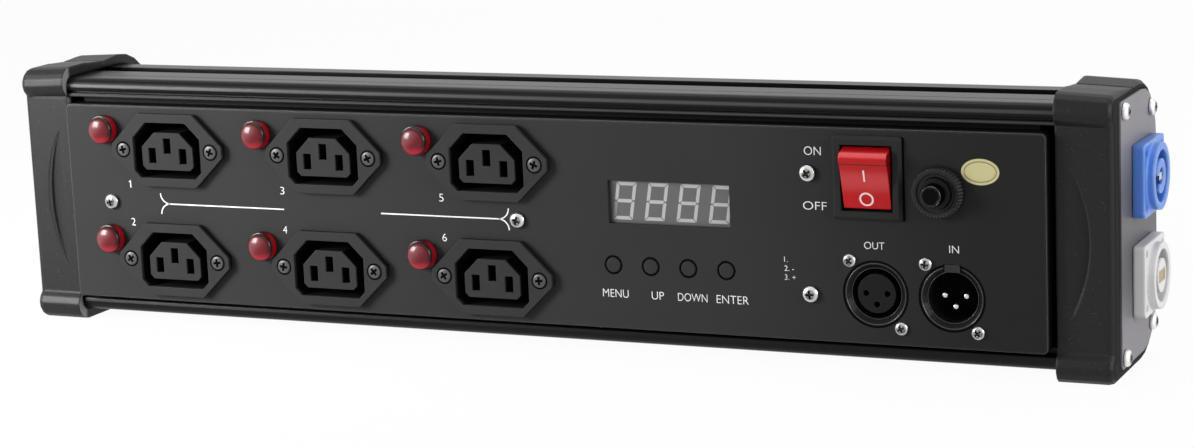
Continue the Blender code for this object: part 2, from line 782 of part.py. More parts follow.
def dip_outline(top):
    groove_floor = top - CAP_GROOVE_DEPTH
    groove_back = CAP_GROOVE_Y + CAP_GROOVE_WIDTH
    return [
        (CAP_DIP_START, top + OVERCUT),
        (CAP_DIP_START, top - CAP_DIP_STEP),
        (CAP_GROOVE_Y, top - CAP_DIP_DEPTH),
        (CAP_GROOVE_Y, groove_floor),
        (groove_back, groove_floor),
        (groove_back, top - CAP_DIP_DEPTH),
        (CAP_DIP_END, top),
        (CAP_DIP_END, top + OVERCUT),
    ]


def dip_cutter():
    """The shallow valley and its groove across the cap's top, over the hanging slot."""
    top = HOUSING_TOP + CAP_WALL
    slope = CAP_TAPER / CAP_WIDTH
    inner = dip_outline(top + slope * OVERCUT)
    outer = dip_outline(top - slope * (CAP_WIDTH + OVERCUT))
    return prism("dip", inner, CAP_INNER_X - OVERCUT, CAP_OUTER_X + OVERCUT, "X", far=outer)


def make_end_caps():
    inner = cap_outline()
    outer = [(y, z - CAP_TAPER) if z > 0.0 else (y, z) for y, z in inner]
    cap = prism("right_end_cap", inner, CAP_INNER_X, CAP_OUTER_X, "X", far=outer)
    round_edges(cap, lambda point: point.x > CAP_OUTER_X - GAP, CAP_EDGE_ROUND, 3)
    pocket = prism("pocket", cap_pocket_outline(), CAP_INNER_X - OVERCUT, WEB_INNER_X, "X")
    recess = prism("recess", plate_outline(GAP), WEB_OUTER_X, CAP_OUTER_X + OVERCUT, "X")
    window_centre = ((WINDOW_FRONT + WINDOW_BACK) / 2, 0.0)
    window_outline = rectangle(window_centre, WINDOW_BACK - WINDOW_FRONT, 2 * WINDOW_HALF_HEIGHT)
    window_reach = (WEB_INNER_X - OVERCUT, WEB_OUTER_X + OVERCUT)
    window = prism("window", window_outline, *window_reach, "X")
    holes = [
        prism("hole", circle(centre, CHANNEL_RADIUS), *window_reach, "X")
        for centre in CHANNELS.values()
    ]
    carve(cap, pocket, recess)
    carve(cap, join_cutters("web_cuts", [window, *holes]))
    carve(cap, grip_cutter(), dip_cutter())
    dress(cap, "cap_plastic", smooth=True)
    left = flipped("left_end_cap", cap)
    return [cap, left]


def make_end_plates():
    screw_holes = [circle(centre, CHANNEL_RADIUS) for centre in CHANNELS.values()]
    power_holes = [
        circle((POWER_Y, height), POWER_BODY_RADIUS + CLEARANCE_HOLE, FINE)
        for height in (POWER_IN_Z, POWER_OUT_Z)
    ]
    span = (PLATE_INNER_X, PLATE_OUTER_X)
    right = prism("right_end_plate", plate_outline(0.0), *span, "X", screw_holes + power_holes)
    blank = prism("blank_plate", plate_outline(0.0), *span, "X", screw_holes)
    left = flipped("left_end_plate", blank)
    bpy.data.objects.remove(blank)
    return [dress(right, "panel_paint"), dress(left, "panel_paint")]


def pan_screw(name, centre, seat, shaft_length, axis):
    """A pan head screw whose head sits at the seat and points the negative way along the axis."""
    head = SCREW_HEAD_HEIGHT
    crown = [
        (SCREW_HEAD_RADIUS * math.cos(math.radians(angle)),
         seat - SCREW_HEAD_RIM - (head - SCREW_HEAD_RIM) * math.sin(math.radians(angle)))
        for angle in (0.0, 35.0, 65.0)
    ]
    profile = [(0.0, seat - head), *reversed(crown), (SCREW_HEAD_RADIUS, seat)]
    profile += [(SCREW_RADIUS, seat), (SCREW_RADIUS, seat + shaft_length), (0.0, seat + shaft_length)]
    return turned(name, profile, centre, axis, COARSE)


def make_plate_screws():
    screws = []
    for place_name, centre in CHANNELS.items():
        left = pan_screw("left_screw_" + place_name, centre, -PLATE_OUTER_X - GAP, SCREW_LENGTH, "X")
        screws.append(left)
        screws.append(flipped("right_screw_" + place_name, left))
    return [dress(screw, "nickel", smooth=True) for screw in screws]


# Front panel


def outlet_body_outline(centre, margin):
    return cut_rectangle(
        centre,
        OUTLET_CAVITY_LENGTH + 2 * margin,
        OUTLET_CAVITY_HEIGHT + 2 * margin,
        OUTLET_CAVITY_TOP_CHAMFER,
        OUTLET_CAVITY_LOW_CHAMFER,
    )


def panel_hole_outlines():
    holes = []
    for centre in OUTLETS:
        holes.append(outlet_body_outline(centre, OUTLET_SHELL + CLEARANCE_HOLE))
        lamp = (centre[0] + LAMP_OFFSET_X, centre[1] + LAMP_OFFSET_Z)
        holes.append(circle(lamp, LAMP_BODY_RADIUS + CLEARANCE_HOLE))
    holes.append(rectangle((DISPLAY_X, DISPLAY_Z), WINDOW_LENGTH, WINDOW_HEIGHT))
    for index in range(len(KEY_NAMES)):
        centre = (KEY_FIRST_X + index * KEY_PITCH, KEY_Z)
        holes.append(circle(centre, KEY_RADIUS + CLEARANCE_HOLE))
    rocker_hole = rectangle(
        (ROCKER_X, ROCKER_Z),
        ROCKER_BODY_WIDTH + 2 * CLEARANCE_HOLE,
        ROCKER_BODY_LENGTH + 2 * CLEARANCE_HOLE,
    )
    holes.append(rocker_hole)
    holes.append(circle((BREAKER_X, BREAKER_Z), BREAKER_NECK_RADIUS + CLEARANCE_HOLE, MEDIUM))
    for centre_x in (SIGNAL_OUT_X, SIGNAL_IN_X):
        holes.append(circle((centre_x, SIGNAL_Z), SIGNAL_RING_RADIUS + CLEARANCE_HOLE, FINE))
    for centre in PANEL_SCREWS.values():
        holes.append(circle(centre, CHANNEL_RADIUS))
    return holes


def make_front_panel():
    outline = rectangle((0.0, 0.0), PANEL_LENGTH, PANEL_HEIGHT, PANEL_CORNER, 3)
    panel = prism("front_panel", outline, 0.0, TRAY_DEPTH)
    round_edges(panel, lambda point: point.y < GAP, PANEL_EDGE_ROUND, 2)
    hollow = prism(
        "hollow",
        rectangle((0.0, 0.0), PANEL_LENGTH - 2 * PANEL_THICKNESS, PANEL_HEIGHT - 2 * PANEL_THICKNESS),
        PANEL_THICKNESS, TRAY_DEPTH + OVERCUT,
    )
    carve(panel, hollow)
    half_length = PANEL_LENGTH / 2 - FLANGE_SIDE_MARGIN
    inner = PANEL_TOP - PANEL_THICKNESS + EMBED
    flanges = [
        box("flange", (-half_length, FLANGE_FRONT, inner), (half_length, TRAY_DEPTH, FLANGE_TOP)),
        box("flange", (-half_length, FLANGE_FRONT, -FLANGE_TOP), (half_length, TRAY_DEPTH, -inner)),
    ]
    fuse(panel, *flanges)
    cutters = [
        prism("hole", hole, -OVERCUT, PANEL_THICKNESS + OVERCUT) for hole in panel_hole_outlines()
    ]
    carve(panel, join_cutters("panel_cuts", cutters))
    return dress(panel, "panel_paint", smooth=True)


# Mains outlets and their indicator lamps


def make_outlets():
    front = BEFORE_PANEL - OUTLET_FLANGE_THICKNESS
    middle = (0.0, 0.0)
    half = OUTLET_FLANGE_LENGTH / 2
    half_flat = OUTLET_FLANGE_FLAT / 2
    half_high = OUTLET_FLANGE_HEIGHT / 2
    ear = OUTLET_FLANGE_TIP
    hexagon = [
        (half, ear / 2), (half_flat, half_high), (-half_flat, half_high),
        (-half, ear / 2), (-half, -ear / 2), (-half_flat, -half_high),
        (half_flat, -half_high), (half, -ear / 2),
    ]
    outlet = prism("outlet", hexagon, front, BEFORE_PANEL)
    body = prism("body", outlet_body_outline(middle, OUTLET_SHELL), front + EMBED, OUTLET_BODY_DEPTH)
    fuse(outlet, body)
    cavity_floor = front + OUTLET_CAVITY_DEPTH
    cavity = prism("cavity", outlet_body_outline(middle, 0.0), front - OVERCUT, cavity_floor)
    carve(outlet, cavity)
    core_outline = cut_rectangle(
        (0.0, -OUTLET_CORE_DROP), OUTLET_CORE_LENGTH, OUTLET_CORE_HEIGHT,
        OUTLET_CORE_TOP_CHAMFER, OUTLET_CORE_LOW_CHAMFER,
    )
    core = prism("core", core_outline, front + OUTLET_CORE_SETBACK, cavity_floor + EMBED)
    contacts = []
    blades = []
    for side in (-1, 0, 1):
        rise = CONTACT_RISE - CONTACT_ROW_DROP if side == 0 else -CONTACT_ROW_DROP
        centre = (side * CONTACT_PITCH, rise)
        slot = rectangle(centre, CONTACT_SLOT_WIDTH, CONTACT_SLOT_HEIGHT)
        contacts.append(prism("slot", slot, front - OVERCUT, front + CONTACT_SLOT_DEPTH))
        blade = rectangle(centre, BLADE_THICKNESS, BLADE_WIDTH)
        back = OUTLET_BODY_DEPTH + BLADE_LENGTH
        blades.append(prism("blade", blade, OUTLET_BODY_DEPTH - EMBED, back))
    carve(core, join_cutters("contact_cuts", contacts))
    fuse(outlet, core, *blades)
    outlets = []
    for number, centre in enumerate(OUTLETS, start=1):
        piece = moved_copy("outlet_%d" % number, outlet, (centre[0], 0.0, centre[1]))
        outlets.append(dress(piece, "outlet_plastic"))
    bpy.data.objects.remove(outlet)
    return outlets


def make_lamps():
    lamps = []
    seat = BEFORE_PANEL
    shoulder = seat - LAMP_RIM
    profile = [
        (0.0, shoulder - LAMP_DOME_HEIGHT),
        (LAMP_STEP_RADIUS * 0.62, shoulder - LAMP_DOME_HEIGHT * 0.80),
        (LAMP_STEP_RADIUS * 0.92, shoulder - LAMP_DOME_HEIGHT * 0.35),
        (LAMP_STEP_RADIUS, shoulder),
        (LAMP_RADIUS, shoulder + LAMP_RIM * 0.3),
        (LAMP_RADIUS, seat),
        (LAMP_BODY_RADIUS, seat),
        (LAMP_BODY_RADIUS, LAMP_BODY_DEPTH),
        (0.0, LAMP_BODY_DEPTH),
    ]
    for number, centre in enumerate(OUTLETS, start=1):
        middle = (centre[0] + LAMP_OFFSET_X, centre[1] + LAMP_OFFSET_Z)
        lamp = turned("indicator_lamp_%d" % number, profile, middle, "Y", COARSE + 4)
        lamps.append(dress(lamp, "lamp_lens", smooth=True))
    return lamps


# Display, keys and their board


def make_display():
    half = (DISPLAY_LENGTH / 2, DISPLAY_HEIGHT / 2)
    low = (DISPLAY_X - half[0], DISPLAY_FRONT_Y, DISPLAY_Z - half[1])
    high = (DISPLAY_X + half[0], DISPLAY_FRONT_Y + DISPLAY_DEPTH, DISPLAY_Z + half[1])
    return dress(box("display_module", low, high), "display_face")


def make_keys():
    """Four caps, each held by a collar behind the panel."""
    back = CONTROL_BOARD_Y - KEY_SWITCH_HEIGHT - KEY_TRAVEL - GAP
    profile = [
        (0.0, -KEY_PROUD),
        (KEY_RADIUS * 0.86, -KEY_PROUD),
        (KEY_RADIUS, 0.0),
        (KEY_RADIUS, BEHIND_PANEL),
        (KEY_COLLAR_RADIUS, BEHIND_PANEL),
        (KEY_COLLAR_RADIUS, BEHIND_PANEL + KEY_COLLAR),
        (KEY_RADIUS * 0.7, BEHIND_PANEL + KEY_COLLAR),
        (KEY_RADIUS * 0.7, back),
        (0.0, back),
    ]
    keys = []
    for index, name in enumerate(KEY_NAMES):
        centre = (KEY_FIRST_X + index * KEY_PITCH, KEY_Z)
        keys.append(dress(turned(name, profile, centre, "Y", COARSE + 4), "key_plastic", smooth=True))
    return keys


def make_control_board():
    high = CONTROL_BOARD_HALF_HEIGHT
    tongue = CONTROL_TONGUE_HALF_HEIGHT
    outline = [
        (CONTROL_BOARD_RIGHT, high), (CONTROL_BOARD_LEFT, high), (CONTROL_BOARD_LEFT, tongue),
        (CONTROL_TONGUE_LEFT, tongue), (CONTROL_TONGUE_LEFT, -tongue), (CONTROL_BOARD_LEFT, -tongue),
        (CONTROL_BOARD_LEFT, -high), (CONTROL_BOARD_RIGHT, -high),
    ]
    studs = [PANEL_SCREWS[key] for key in ("middle", "upper_right", "lower_right")]
    holes = [circle(centre, STUD_RADIUS + CLEARANCE_HOLE) for centre in studs]
    back = CONTROL_BOARD_Y + BOARD_THICKNESS
    board = prism("control_board", outline, CONTROL_BOARD_Y, back, "Y", holes)
    switches = []
    for index in range(len(KEY_NAMES)):
        centre = (KEY_FIRST_X + index * KEY_PITCH, KEY_Z)
        body = rectangle(centre, KEY_SWITCH_SIZE, KEY_SWITCH_SIZE)
        front = CONTROL_BOARD_Y - KEY_SWITCH_HEIGHT
        switches.append(prism("switch", body, front, CONTROL_BOARD_Y + EMBED))
    fuse(board, *switches)
    return dress(board, "board")


def make_power_supply():
    front = CONTROL_BOARD_Y + BOARD_THICKNESS + GAP
    outline = rectangle((SUPPLY_X, 0.0), SUPPLY_LENGTH, SUPPLY_HEIGHT, 2 * EMBED, 1)
    return dress(prism("power_supply", outline, front, front + SUPPLY_DEPTH), "supply_plastic")


# Relay board with its relays and terminals


def make_relay_board():
    middle_x = (RELAY_BOARD_LEFT + RELAY_BOARD_RIGHT) / 2
    width = RELAY_BOARD_RIGHT - RELAY_BOARD_LEFT
    outline = rectangle((middle_x, 0.0), width, 2 * RELAY_BOARD_HALF_HEIGHT)
    holes = [
        circle(PANEL_SCREWS[key], STUD_RADIUS + CLEARANCE_HOLE) for key in ("left", "middle")
    ]
    back = RELAY_BOARD_Y + BOARD_THICKNESS
    return dress(prism("relay_board", outline, RELAY_BOARD_Y, back, "Y", holes), "board")


def make_relays():
    front = RELAY_BOARD_Y + BOARD_THICKNESS + GAP
    relays = []
    for index in range(len(OUTLETS)):
        centre = (RELAY_FIRST_X + index * RELAY_PITCH, RELAY_Z)
        outline = rectangle(centre, RELAY_LENGTH, RELAY_HEIGHT, EMBED, 1)
        relay = prism("relay_%d" % (index + 1), outline, front, front + RELAY_DEPTH)
        relays.append(dress(relay, "relay_plastic"))
    return relays


def make_terminal_block():
    front = RELAY_BOARD_Y + BOARD_THICKNESS + GAP
    middle_x = RELAY_FIRST_X + RELAY_PITCH * (len(OUTLETS) - 1) / 2
    outline = rectangle((middle_x, TERMINAL_Z), TERMINAL_LENGTH, TERMINAL_HEIGHT)
    block = prism("terminal_block", outline, front, front + TERMINAL_DEPTH)
    pitch = TERMINAL_LENGTH / TERMINAL_WAYS
    first = middle_x - pitch * (TERMINAL_WAYS - 1) / 2
    cuts = []
    for index in range(TERMINAL_WAYS):
        hole = rectangle((first + index * pitch, TERMINAL_Z), 2 * TERMINAL_HOLE, 2 * TERMINAL_HOLE)
        cuts.append(prism("way", hole, front + TERMINAL_DEPTH / 2, front + TERMINAL_DEPTH + OVERCUT))
    carve(block, join_cutters("ways", cuts))
    return dress(block, "supply_plastic")


def standoff(name, centre, front, back, board):
    """A six-sided spacer with a blind bore for the screw and a stud that passes the board."""
    body = prism(name, circle(centre, STANDOFF_RADIUS, 6), front, back)
    bore = prism("bore", circle(centre, STANDOFF_BORE), front - OVERCUT, front + STANDOFF_BORE_DEPTH)
    carve(body, bore)
    stud_end = back + GAP + board + STUD_REACH
    fuse(body, prism("stud", circle(centre, STUD_RADIUS), back - EMBED, stud_end))
    return dress(body, "brass")


def make_standoffs():
    control_front = CONTROL_BOARD_Y - GAP
    relay_front = RELAY_BOARD_Y - GAP
    behind_control = CONTROL_BOARD_Y + BOARD_THICKNESS + GAP
    left = PANEL_SCREWS["left"]
    middle = PANEL_SCREWS["middle"]
    made = [
        standoff("standoff_left", left, BEHIND_PANEL, relay_front, BOARD_THICKNESS),
        standoff("standoff_middle_front", middle, BEHIND_PANEL, control_front, BOARD_THICKNESS),
        standoff("standoff_middle_back", middle, behind_control, relay_front, BOARD_THICKNESS),
    ]
    for key in ("upper_right", "lower_right"):
        centre = PANEL_SCREWS[key]
        made.append(standoff("standoff_" + key, centre, BEHIND_PANEL, control_front, BOARD_THICKNESS))
    return made


def make_panel_screws():
    return [
        dress(pan_screw("panel_screw_" + key, centre, BEFORE_PANEL, PANEL_SCREW_LENGTH, "Y"),
              "nickel", smooth=True)
        for key, centre in PANEL_SCREWS.items()
    ]


# Power rocker


def make_rocker_frame():
    centre = (ROCKER_X, ROCKER_Z)
    front = BEFORE_PANEL - ROCKER_FRAME_THICKNESS
    rim = rectangle(centre, ROCKER_FRAME_WIDTH, ROCKER_FRAME_LENGTH, ROCKER_FRAME_CORNER)
    frame = prism("rocker_frame", rim, front, BEFORE_PANEL)
    round_edges(frame, lambda point: point.y < front + GAP, ROCKER_FRAME_BEVEL, 1)
    shell = rectangle(centre, ROCKER_BODY_WIDTH, ROCKER_BODY_LENGTH)
    fuse(frame, prism("shell", shell, front + ROCKER_FRAME_BEVEL + GAP, ROCKER_BODY_DEPTH))
    opening = rectangle(centre, ROCKER_OPENING_WIDTH, ROCKER_OPENING_LENGTH)
    well = prism("well", opening, front - OVERCUT, ROCKER_CAVITY_DEPTH)
    reach = ROCKER_WIDTH / 2 + ROCKER_PIN_LENGTH + GAP
    seat = prism(
        "seat", circle((ROCKER_PIVOT_Y, ROCKER_Z), ROCKER_PIN_RADIUS + GAP),
        ROCKER_X - reach, ROCKER_X + reach, "X",
    )
    carve(frame, well)
    carve(frame, seat)
    blades = []
    for side in (-1, 1):
        for level in (-1, 1):
            spot = (ROCKER_X + side * CONTACT_PITCH, ROCKER_Z + level * CONTACT_PITCH)
            blade = rectangle(spot, BLADE_THICKNESS, BLADE_WIDTH)
            blades.append(
                prism("blade", blade, ROCKER_BODY_DEPTH - EMBED, ROCKER_BODY_DEPTH + BLADE_LENGTH)
            )
    fuse(frame, *blades)
    return dress(frame, "connector_plastic")


def make_rocker():
    """One roll at the top and a long, slightly hollow face below it, drawn in the off position."""
    roll = arc((ROCKER_ROLL_OUT, ROCKER_ROLL_RISE), ROCKER_ROLL_RADIUS, -48.0, 90.0, 8)
    low = (ROCKER_LOW_OUT, -ROCKER_LOW_DROP)
    middle = ((roll[0][0] + low[0]) / 2 - ROCKER_FACE_SAG, (roll[0][1] + low[1]) / 2)
    around_pin = [
        (ROCKER_LOW_OUT - ROCKER_LOW_EDGE, -ROCKER_LOW_DROP),
        (-ROCKER_UNDERSIDE, -ROCKER_UNDERSIDE_HALF),
        (-ROCKER_UNDERSIDE, ROCKER_UNDERSIDE_HALF),
        (ROCKER_END_OUT - ROCKER_LOW_EDGE, ROCKER_END_RISE - GAP),
        (ROCKER_END_OUT, ROCKER_END_RISE),
    ]
    level = roll[::-1] + [middle, low] + around_pin
    outline = [(ROCKER_PIVOT_Y - out, ROCKER_Z + rise) for out, rise in level]
    half = ROCKER_WIDTH / 2
    rocker = prism("rocker", outline, ROCKER_X - half, ROCKER_X + half, "X")
    pin_outline = circle((ROCKER_PIVOT_Y, ROCKER_Z), ROCKER_PIN_RADIUS)
    reach = half + ROCKER_PIN_LENGTH
    fuse(rocker, prism("pin", pin_outline, ROCKER_X - reach, ROCKER_X + reach, "X"))
    return dress(rocker, "rocker_plastic", smooth=True)


# Resettable breaker


def make_breaker():
    centre = (BREAKER_X, BREAKER_Z)
    half_w = BREAKER_BODY_WIDTH / 2
    half_h = BREAKER_BODY_HEIGHT / 2
    body = box(
        "breaker_body",
        (BREAKER_X - half_w, BEHIND_PANEL, BREAKER_Z - half_h),
        (BREAKER_X + half_w, BREAKER_BODY_DEPTH, BREAKER_Z + half_h),
    )
    neck_outline = circle(centre, BREAKER_NECK_RADIUS, MEDIUM)
    fuse(body, prism("neck", neck_outline, -BREAKER_NECK_FRONT, BEHIND_PANEL + EMBED))
    bore_outline = circle(centre, BREAKER_BUTTON_RADIUS + GAP, MEDIUM)
    bore_end = BREAKER_BUTTON_DEPTH + GAP
    carve(body, prism("bore", bore_outline, -BREAKER_NECK_FRONT - OVERCUT, bore_end))
    knurl = [
        (BREAKER_X + radius * math.cos(angle), BREAKER_Z + radius * math.sin(angle))
        for angle, radius in (
            (math.pi * index / BREAKER_KNURLS, BREAKER_NUT_RADIUS - (index % 2) * BREAKER_KNURL_DEPTH)
            for index in range(2 * BREAKER_KNURLS)
        )
    ]
    nut_hole = circle(centre, BREAKER_NECK_RADIUS + GAP, MEDIUM)
    nut_front = BEFORE_PANEL - BREAKER_NUT_THICKNESS
    nut = prism("breaker_nut", knurl, nut_front, BEFORE_PANEL, "Y", [nut_hole])
    tip = -BREAKER_BUTTON_FRONT
    profile = [
        (0.0, tip),
        (BREAKER_BUTTON_RADIUS * 0.80, tip),
        (BREAKER_BUTTON_RADIUS, tip + 2 * EMBED),
        (BREAKER_BUTTON_RADIUS, BREAKER_BUTTON_DEPTH),
        (0.0, BREAKER_BUTTON_DEPTH),
    ]
    button = turned("breaker_button", profile, centre, "Y", MEDIUM)
    return [
        dress(body, "connector_plastic"),
        dress(nut, "connector_plastic"),
        dress(button, "key_plastic", smooth=True),
    ]


# Signal connectors


def signal_shell(name, centre_x):
    """The flange behind the panel, the ring in the panel's hole and the body, with a flared well."""
    centre = (centre_x, SIGNAL_Z)
    flange = rectangle(
        centre, CONNECTOR_FLANGE_WIDTH, CONNECTOR_FLANGE_HEIGHT, CONNECTOR_FLANGE_CORNER
    )
    flange_back = BEHIND_PANEL + SIGNAL_FLANGE_THICKNESS
    shell = prism(name, flange, BEHIND_PANEL, flange_back)
    ring = prism("ring", circle(centre, SIGNAL_RING_RADIUS, FINE), SIGNAL_RING_SETBACK,
                 BEHIND_PANEL + EMBED)
    body = prism("body", circle(centre, SIGNAL_BODY_RADIUS, FINE), flange_back - EMBED,
                 SIGNAL_BODY_DEPTH)
    fuse(shell, ring, body)
    mouth = [
        (0.0, SIGNAL_RING_SETBACK - OVERCUT),
        (SIGNAL_MOUTH_RADIUS, SIGNAL_RING_SETBACK - OVERCUT),
        (SIGNAL_MOUTH_RADIUS, SIGNAL_RING_SETBACK),
        (SIGNAL_CAVITY_RADIUS, SIGNAL_RING_SETBACK + SIGNAL_MOUTH_DEPTH),
        (SIGNAL_CAVITY_RADIUS, SIGNAL_CAVITY_DEPTH),
        (0.0, SIGNAL_CAVITY_DEPTH),
    ]
    carve(shell, turned("well", mouth, centre, "Y", FINE))
    return shell


def contact_spots(centre_x):
    """Three contacts: one each side of the middle and one below it."""
    reach = SIGNAL_PIN_CIRCLE
    return [
        (centre_x - reach, SIGNAL_Z), (centre_x + reach, SIGNAL_Z), (centre_x, SIGNAL_Z - reach)
    ]


def make_signal_out():
    shell = signal_shell("signal_out_socket", SIGNAL_OUT_X)
    core_outline = circle((SIGNAL_OUT_X, SIGNAL_Z), SIGNAL_CORE_RADIUS, MEDIUM)
    core = prism("core", core_outline, SIGNAL_CORE_SETBACK, SIGNAL_CAVITY_DEPTH + EMBED)
    holes = [
        prism("hole", circle(spot, SIGNAL_HOLE_RADIUS, 8), SIGNAL_CORE_SETBACK - OVERCUT,
              SIGNAL_HOLE_DEPTH)
        for spot in contact_spots(SIGNAL_OUT_X)
    ]
    carve(core, join_cutters("contact_holes", holes))
    fuse(shell, core)
    return dress(shell, "connector_plastic", smooth=True)


def make_signal_in():
    shell = signal_shell("signal_in_plug", SIGNAL_IN_X)
    pins = []
    for spot in contact_spots(SIGNAL_IN_X):
        profile = [
            (0.0, SIGNAL_PIN_SETBACK),
            (SIGNAL_PIN_RADIUS * 0.6, SIGNAL_PIN_SETBACK + EMBED / 2),
            (SIGNAL_PIN_RADIUS, SIGNAL_PIN_SETBACK + 2 * EMBED),
            (SIGNAL_PIN_RADIUS, SIGNAL_CAVITY_DEPTH + EMBED),
            (0.0, SIGNAL_CAVITY_DEPTH + EMBED),
        ]
        pins.append(turned("pin", profile, spot, "Y", 8))
    fuse(shell, *pins)
    return dress(shell, "connector_plastic", smooth=True)


# Power connectors


def make_power_connector(name, height, finish_name, keyed):
    """A twist-lock connector: a square flange on the plate, a ring, a round well and a centre post."""
    centre = (POWER_Y, height)
    seat = PLATE_OUTER_X + GAP
    flange_face = seat + POWER_FLANGE_THICKNESS
    ring_face = flange_face + POWER_RING_HEIGHT
    outline = rectangle(centre, POWER_FLANGE_DEPTH, POWER_FLANGE_HEIGHT, POWER_FLANGE_CORNER)
    piece = prism(name, outline, seat, flange_face, "X")
    ring = prism("ring", circle(centre, POWER_RING_RADIUS, FINE), flange_face - EMBED, ring_face, "X")
    body_end = PLATE_OUTER_X - POWER_BODY_DEPTH
    body = prism("body", circle(centre, POWER_BODY_RADIUS, FINE), body_end, seat + EMBED, "X")
    fuse(piece, ring, body)
    floor = ring_face - POWER_CAVITY_DEPTH
    well = prism("well", circle(centre, POWER_CAVITY_RADIUS, FINE), floor, ring_face + OVERCUT, "X")
    carve(piece, well)
    post_face = ring_face - POWER_CORE_SETBACK
    post = prism("post", circle(centre, POWER_CORE_RADIUS, MEDIUM), floor - EMBED, post_face, "X")
    bore_floor = floor + 2 * EMBED
    bore = prism("bore", circle(centre, POWER_CORE_BORE, MEDIUM), bore_floor, post_face + OVERCUT, "X")
    carve(post, bore)
    if keyed:
        notch_centre = (POWER_Y - POWER_CORE_RADIUS, height - POWER_KEY_DROP)
        notch_outline = rectangle(notch_centre, 2 * POWER_CORE_RADIUS, POWER_KEY_WIDTH)
        carve(post, prism("notch", notch_outline, bore_floor, post_face + OVERCUT, "X"))
    fuse(piece, post)
    return dress(piece, finish_name, smooth=True)


# Assembly


def assemble(pieces):
    """Hang every piece on one empty that stands the pack on its caps with its box centred."""
    left_reach = PLATE_OUTER_X + GAP + SCREW_HEAD_HEIGHT
    right_reach = POWER_FACE_X
    front_reach = BREAKER_BUTTON_FRONT
    back_reach = HOUSING_BACK + CAP_WALL
    base = bpy.data.objects.new("pack", None)
    bpy.context.scene.collection.objects.link(base)
    base.location = (
        (left_reach - right_reach) / 2,
        (front_reach - back_reach) / 2,
        HOUSING_BOTTOM + CAP_WALL,
    )
    for piece in pieces:
        piece.parent = base
    return base


def set_origin(piece, point):
    """Move a piece's own origin to a point, leaving its shape where it is."""
    piece.data.transform(Matrix.Translation(-Vector(point)))
    piece.location = point


def main():
    for thing in list(bpy.data.objects):
        bpy.data.objects.remove(thing)
    pieces = [make_housing()]
    pieces += make_end_caps()
    pieces += make_end_plates()
    pieces += make_plate_screws()
    pieces.append(make_front_panel())
    pieces += make_outlets()
    pieces += make_lamps()
    pieces.append(make_display())
    keys = make_keys()
    pieces += keys
    pieces.append(make_control_board())
    pieces.append(make_power_supply())
    pieces.append(make_relay_board())
    pieces += make_relays()
    pieces.append(make_terminal_block())
    pieces += make_standoffs()
    pieces += make_panel_screws()
    pieces.append(make_rocker_frame())
    rocker = make_rocker()
    pieces.append(rocker)
    breaker = make_breaker()
    pieces += breaker
    pieces.append(make_signal_out())
    pieces.append(make_signal_in())
    pieces.append(make_power_connector("power_inlet", POWER_IN_Z, "inlet_plastic", True))
    pieces.append(make_power_connector("power_outlet", POWER_OUT_Z, "outlet_grey", False))
    for index, key in enumerate(keys):
        set_origin(key, (KEY_FIRST_X + index * KEY_PITCH, 0.0, KEY_Z))
    set_origin(rocker, (ROCKER_X, ROCKER_PIVOT_Y, ROCKER_Z))
    set_origin(breaker[-1], (BREAKER_X, 0.0, BREAKER_Z))
    assemble(pieces)


main()
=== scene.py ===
# Units are metres. The front panel faces -Y, X runs along the bar and +Z is up.

import itertools
import json
import math

import bpy
from mathutils import Matrix, Vector


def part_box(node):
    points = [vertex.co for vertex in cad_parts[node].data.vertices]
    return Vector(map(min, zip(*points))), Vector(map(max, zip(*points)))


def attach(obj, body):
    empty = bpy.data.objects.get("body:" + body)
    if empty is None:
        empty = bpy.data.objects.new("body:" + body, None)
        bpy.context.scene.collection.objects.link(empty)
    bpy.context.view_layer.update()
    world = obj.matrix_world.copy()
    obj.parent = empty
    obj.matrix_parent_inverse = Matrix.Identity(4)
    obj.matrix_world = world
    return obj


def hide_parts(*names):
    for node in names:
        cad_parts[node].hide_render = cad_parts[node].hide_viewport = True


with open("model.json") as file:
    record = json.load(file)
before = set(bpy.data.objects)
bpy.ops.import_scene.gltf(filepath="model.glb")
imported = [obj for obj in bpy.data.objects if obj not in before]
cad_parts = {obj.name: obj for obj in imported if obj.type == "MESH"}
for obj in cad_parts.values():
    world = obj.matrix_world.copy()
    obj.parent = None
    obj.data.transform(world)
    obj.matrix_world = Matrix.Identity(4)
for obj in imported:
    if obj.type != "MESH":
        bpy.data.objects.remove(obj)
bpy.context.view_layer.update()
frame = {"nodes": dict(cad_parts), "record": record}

# The middle of the panel's face, and the outer face of the right end plate
PANEL_LOW, PANEL_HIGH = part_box("front_panel")
FACE = Vector(((PANEL_LOW.x + PANEL_HIGH.x) / 2, PANEL_LOW.y, (PANEL_LOW.z + PANEL_HIGH.z) / 2))
PLATE_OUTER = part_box("right_end_plate")[1].x

# Local axes of a seat: x to the right and y up as seen from outside, z out of the surface
TURN_FRONT = Matrix(((1, 0, 0), (0, 0, -1), (0, 1, 0))).to_4x4()
TURN_RIGHT = Matrix(((0, 0, 1), (1, 0, 0), (0, 1, 0))).to_4x4()
TURN_LEFT = Matrix(((0, 0, -1), (-1, 0, 0), (0, 1, 0))).to_4x4()
PANEL = Matrix.Translation(FACE) @ TURN_FRONT

# Thickness of printing, sides of a full turn, and the angle from which a turned edge is sharp
SKIN = 0.00004
FINE = 48
SHARP_ANGLE = 38.0

# Camera, worked out from the photograph, as a place and angles about the middle of the panel's face
CAMERA_FROM_FACE = Vector((0.47762, -0.97763, 0.21577))
CAMERA_AZIMUTH = 24.59
CAMERA_ELEVATION = 11.29
CAMERA_ROLL = -2.47
CAMERA_LENS = 89.108
CAMERA_SENSOR = 36.0
CAMERA_SHIFT = (0.00008, -0.0021)

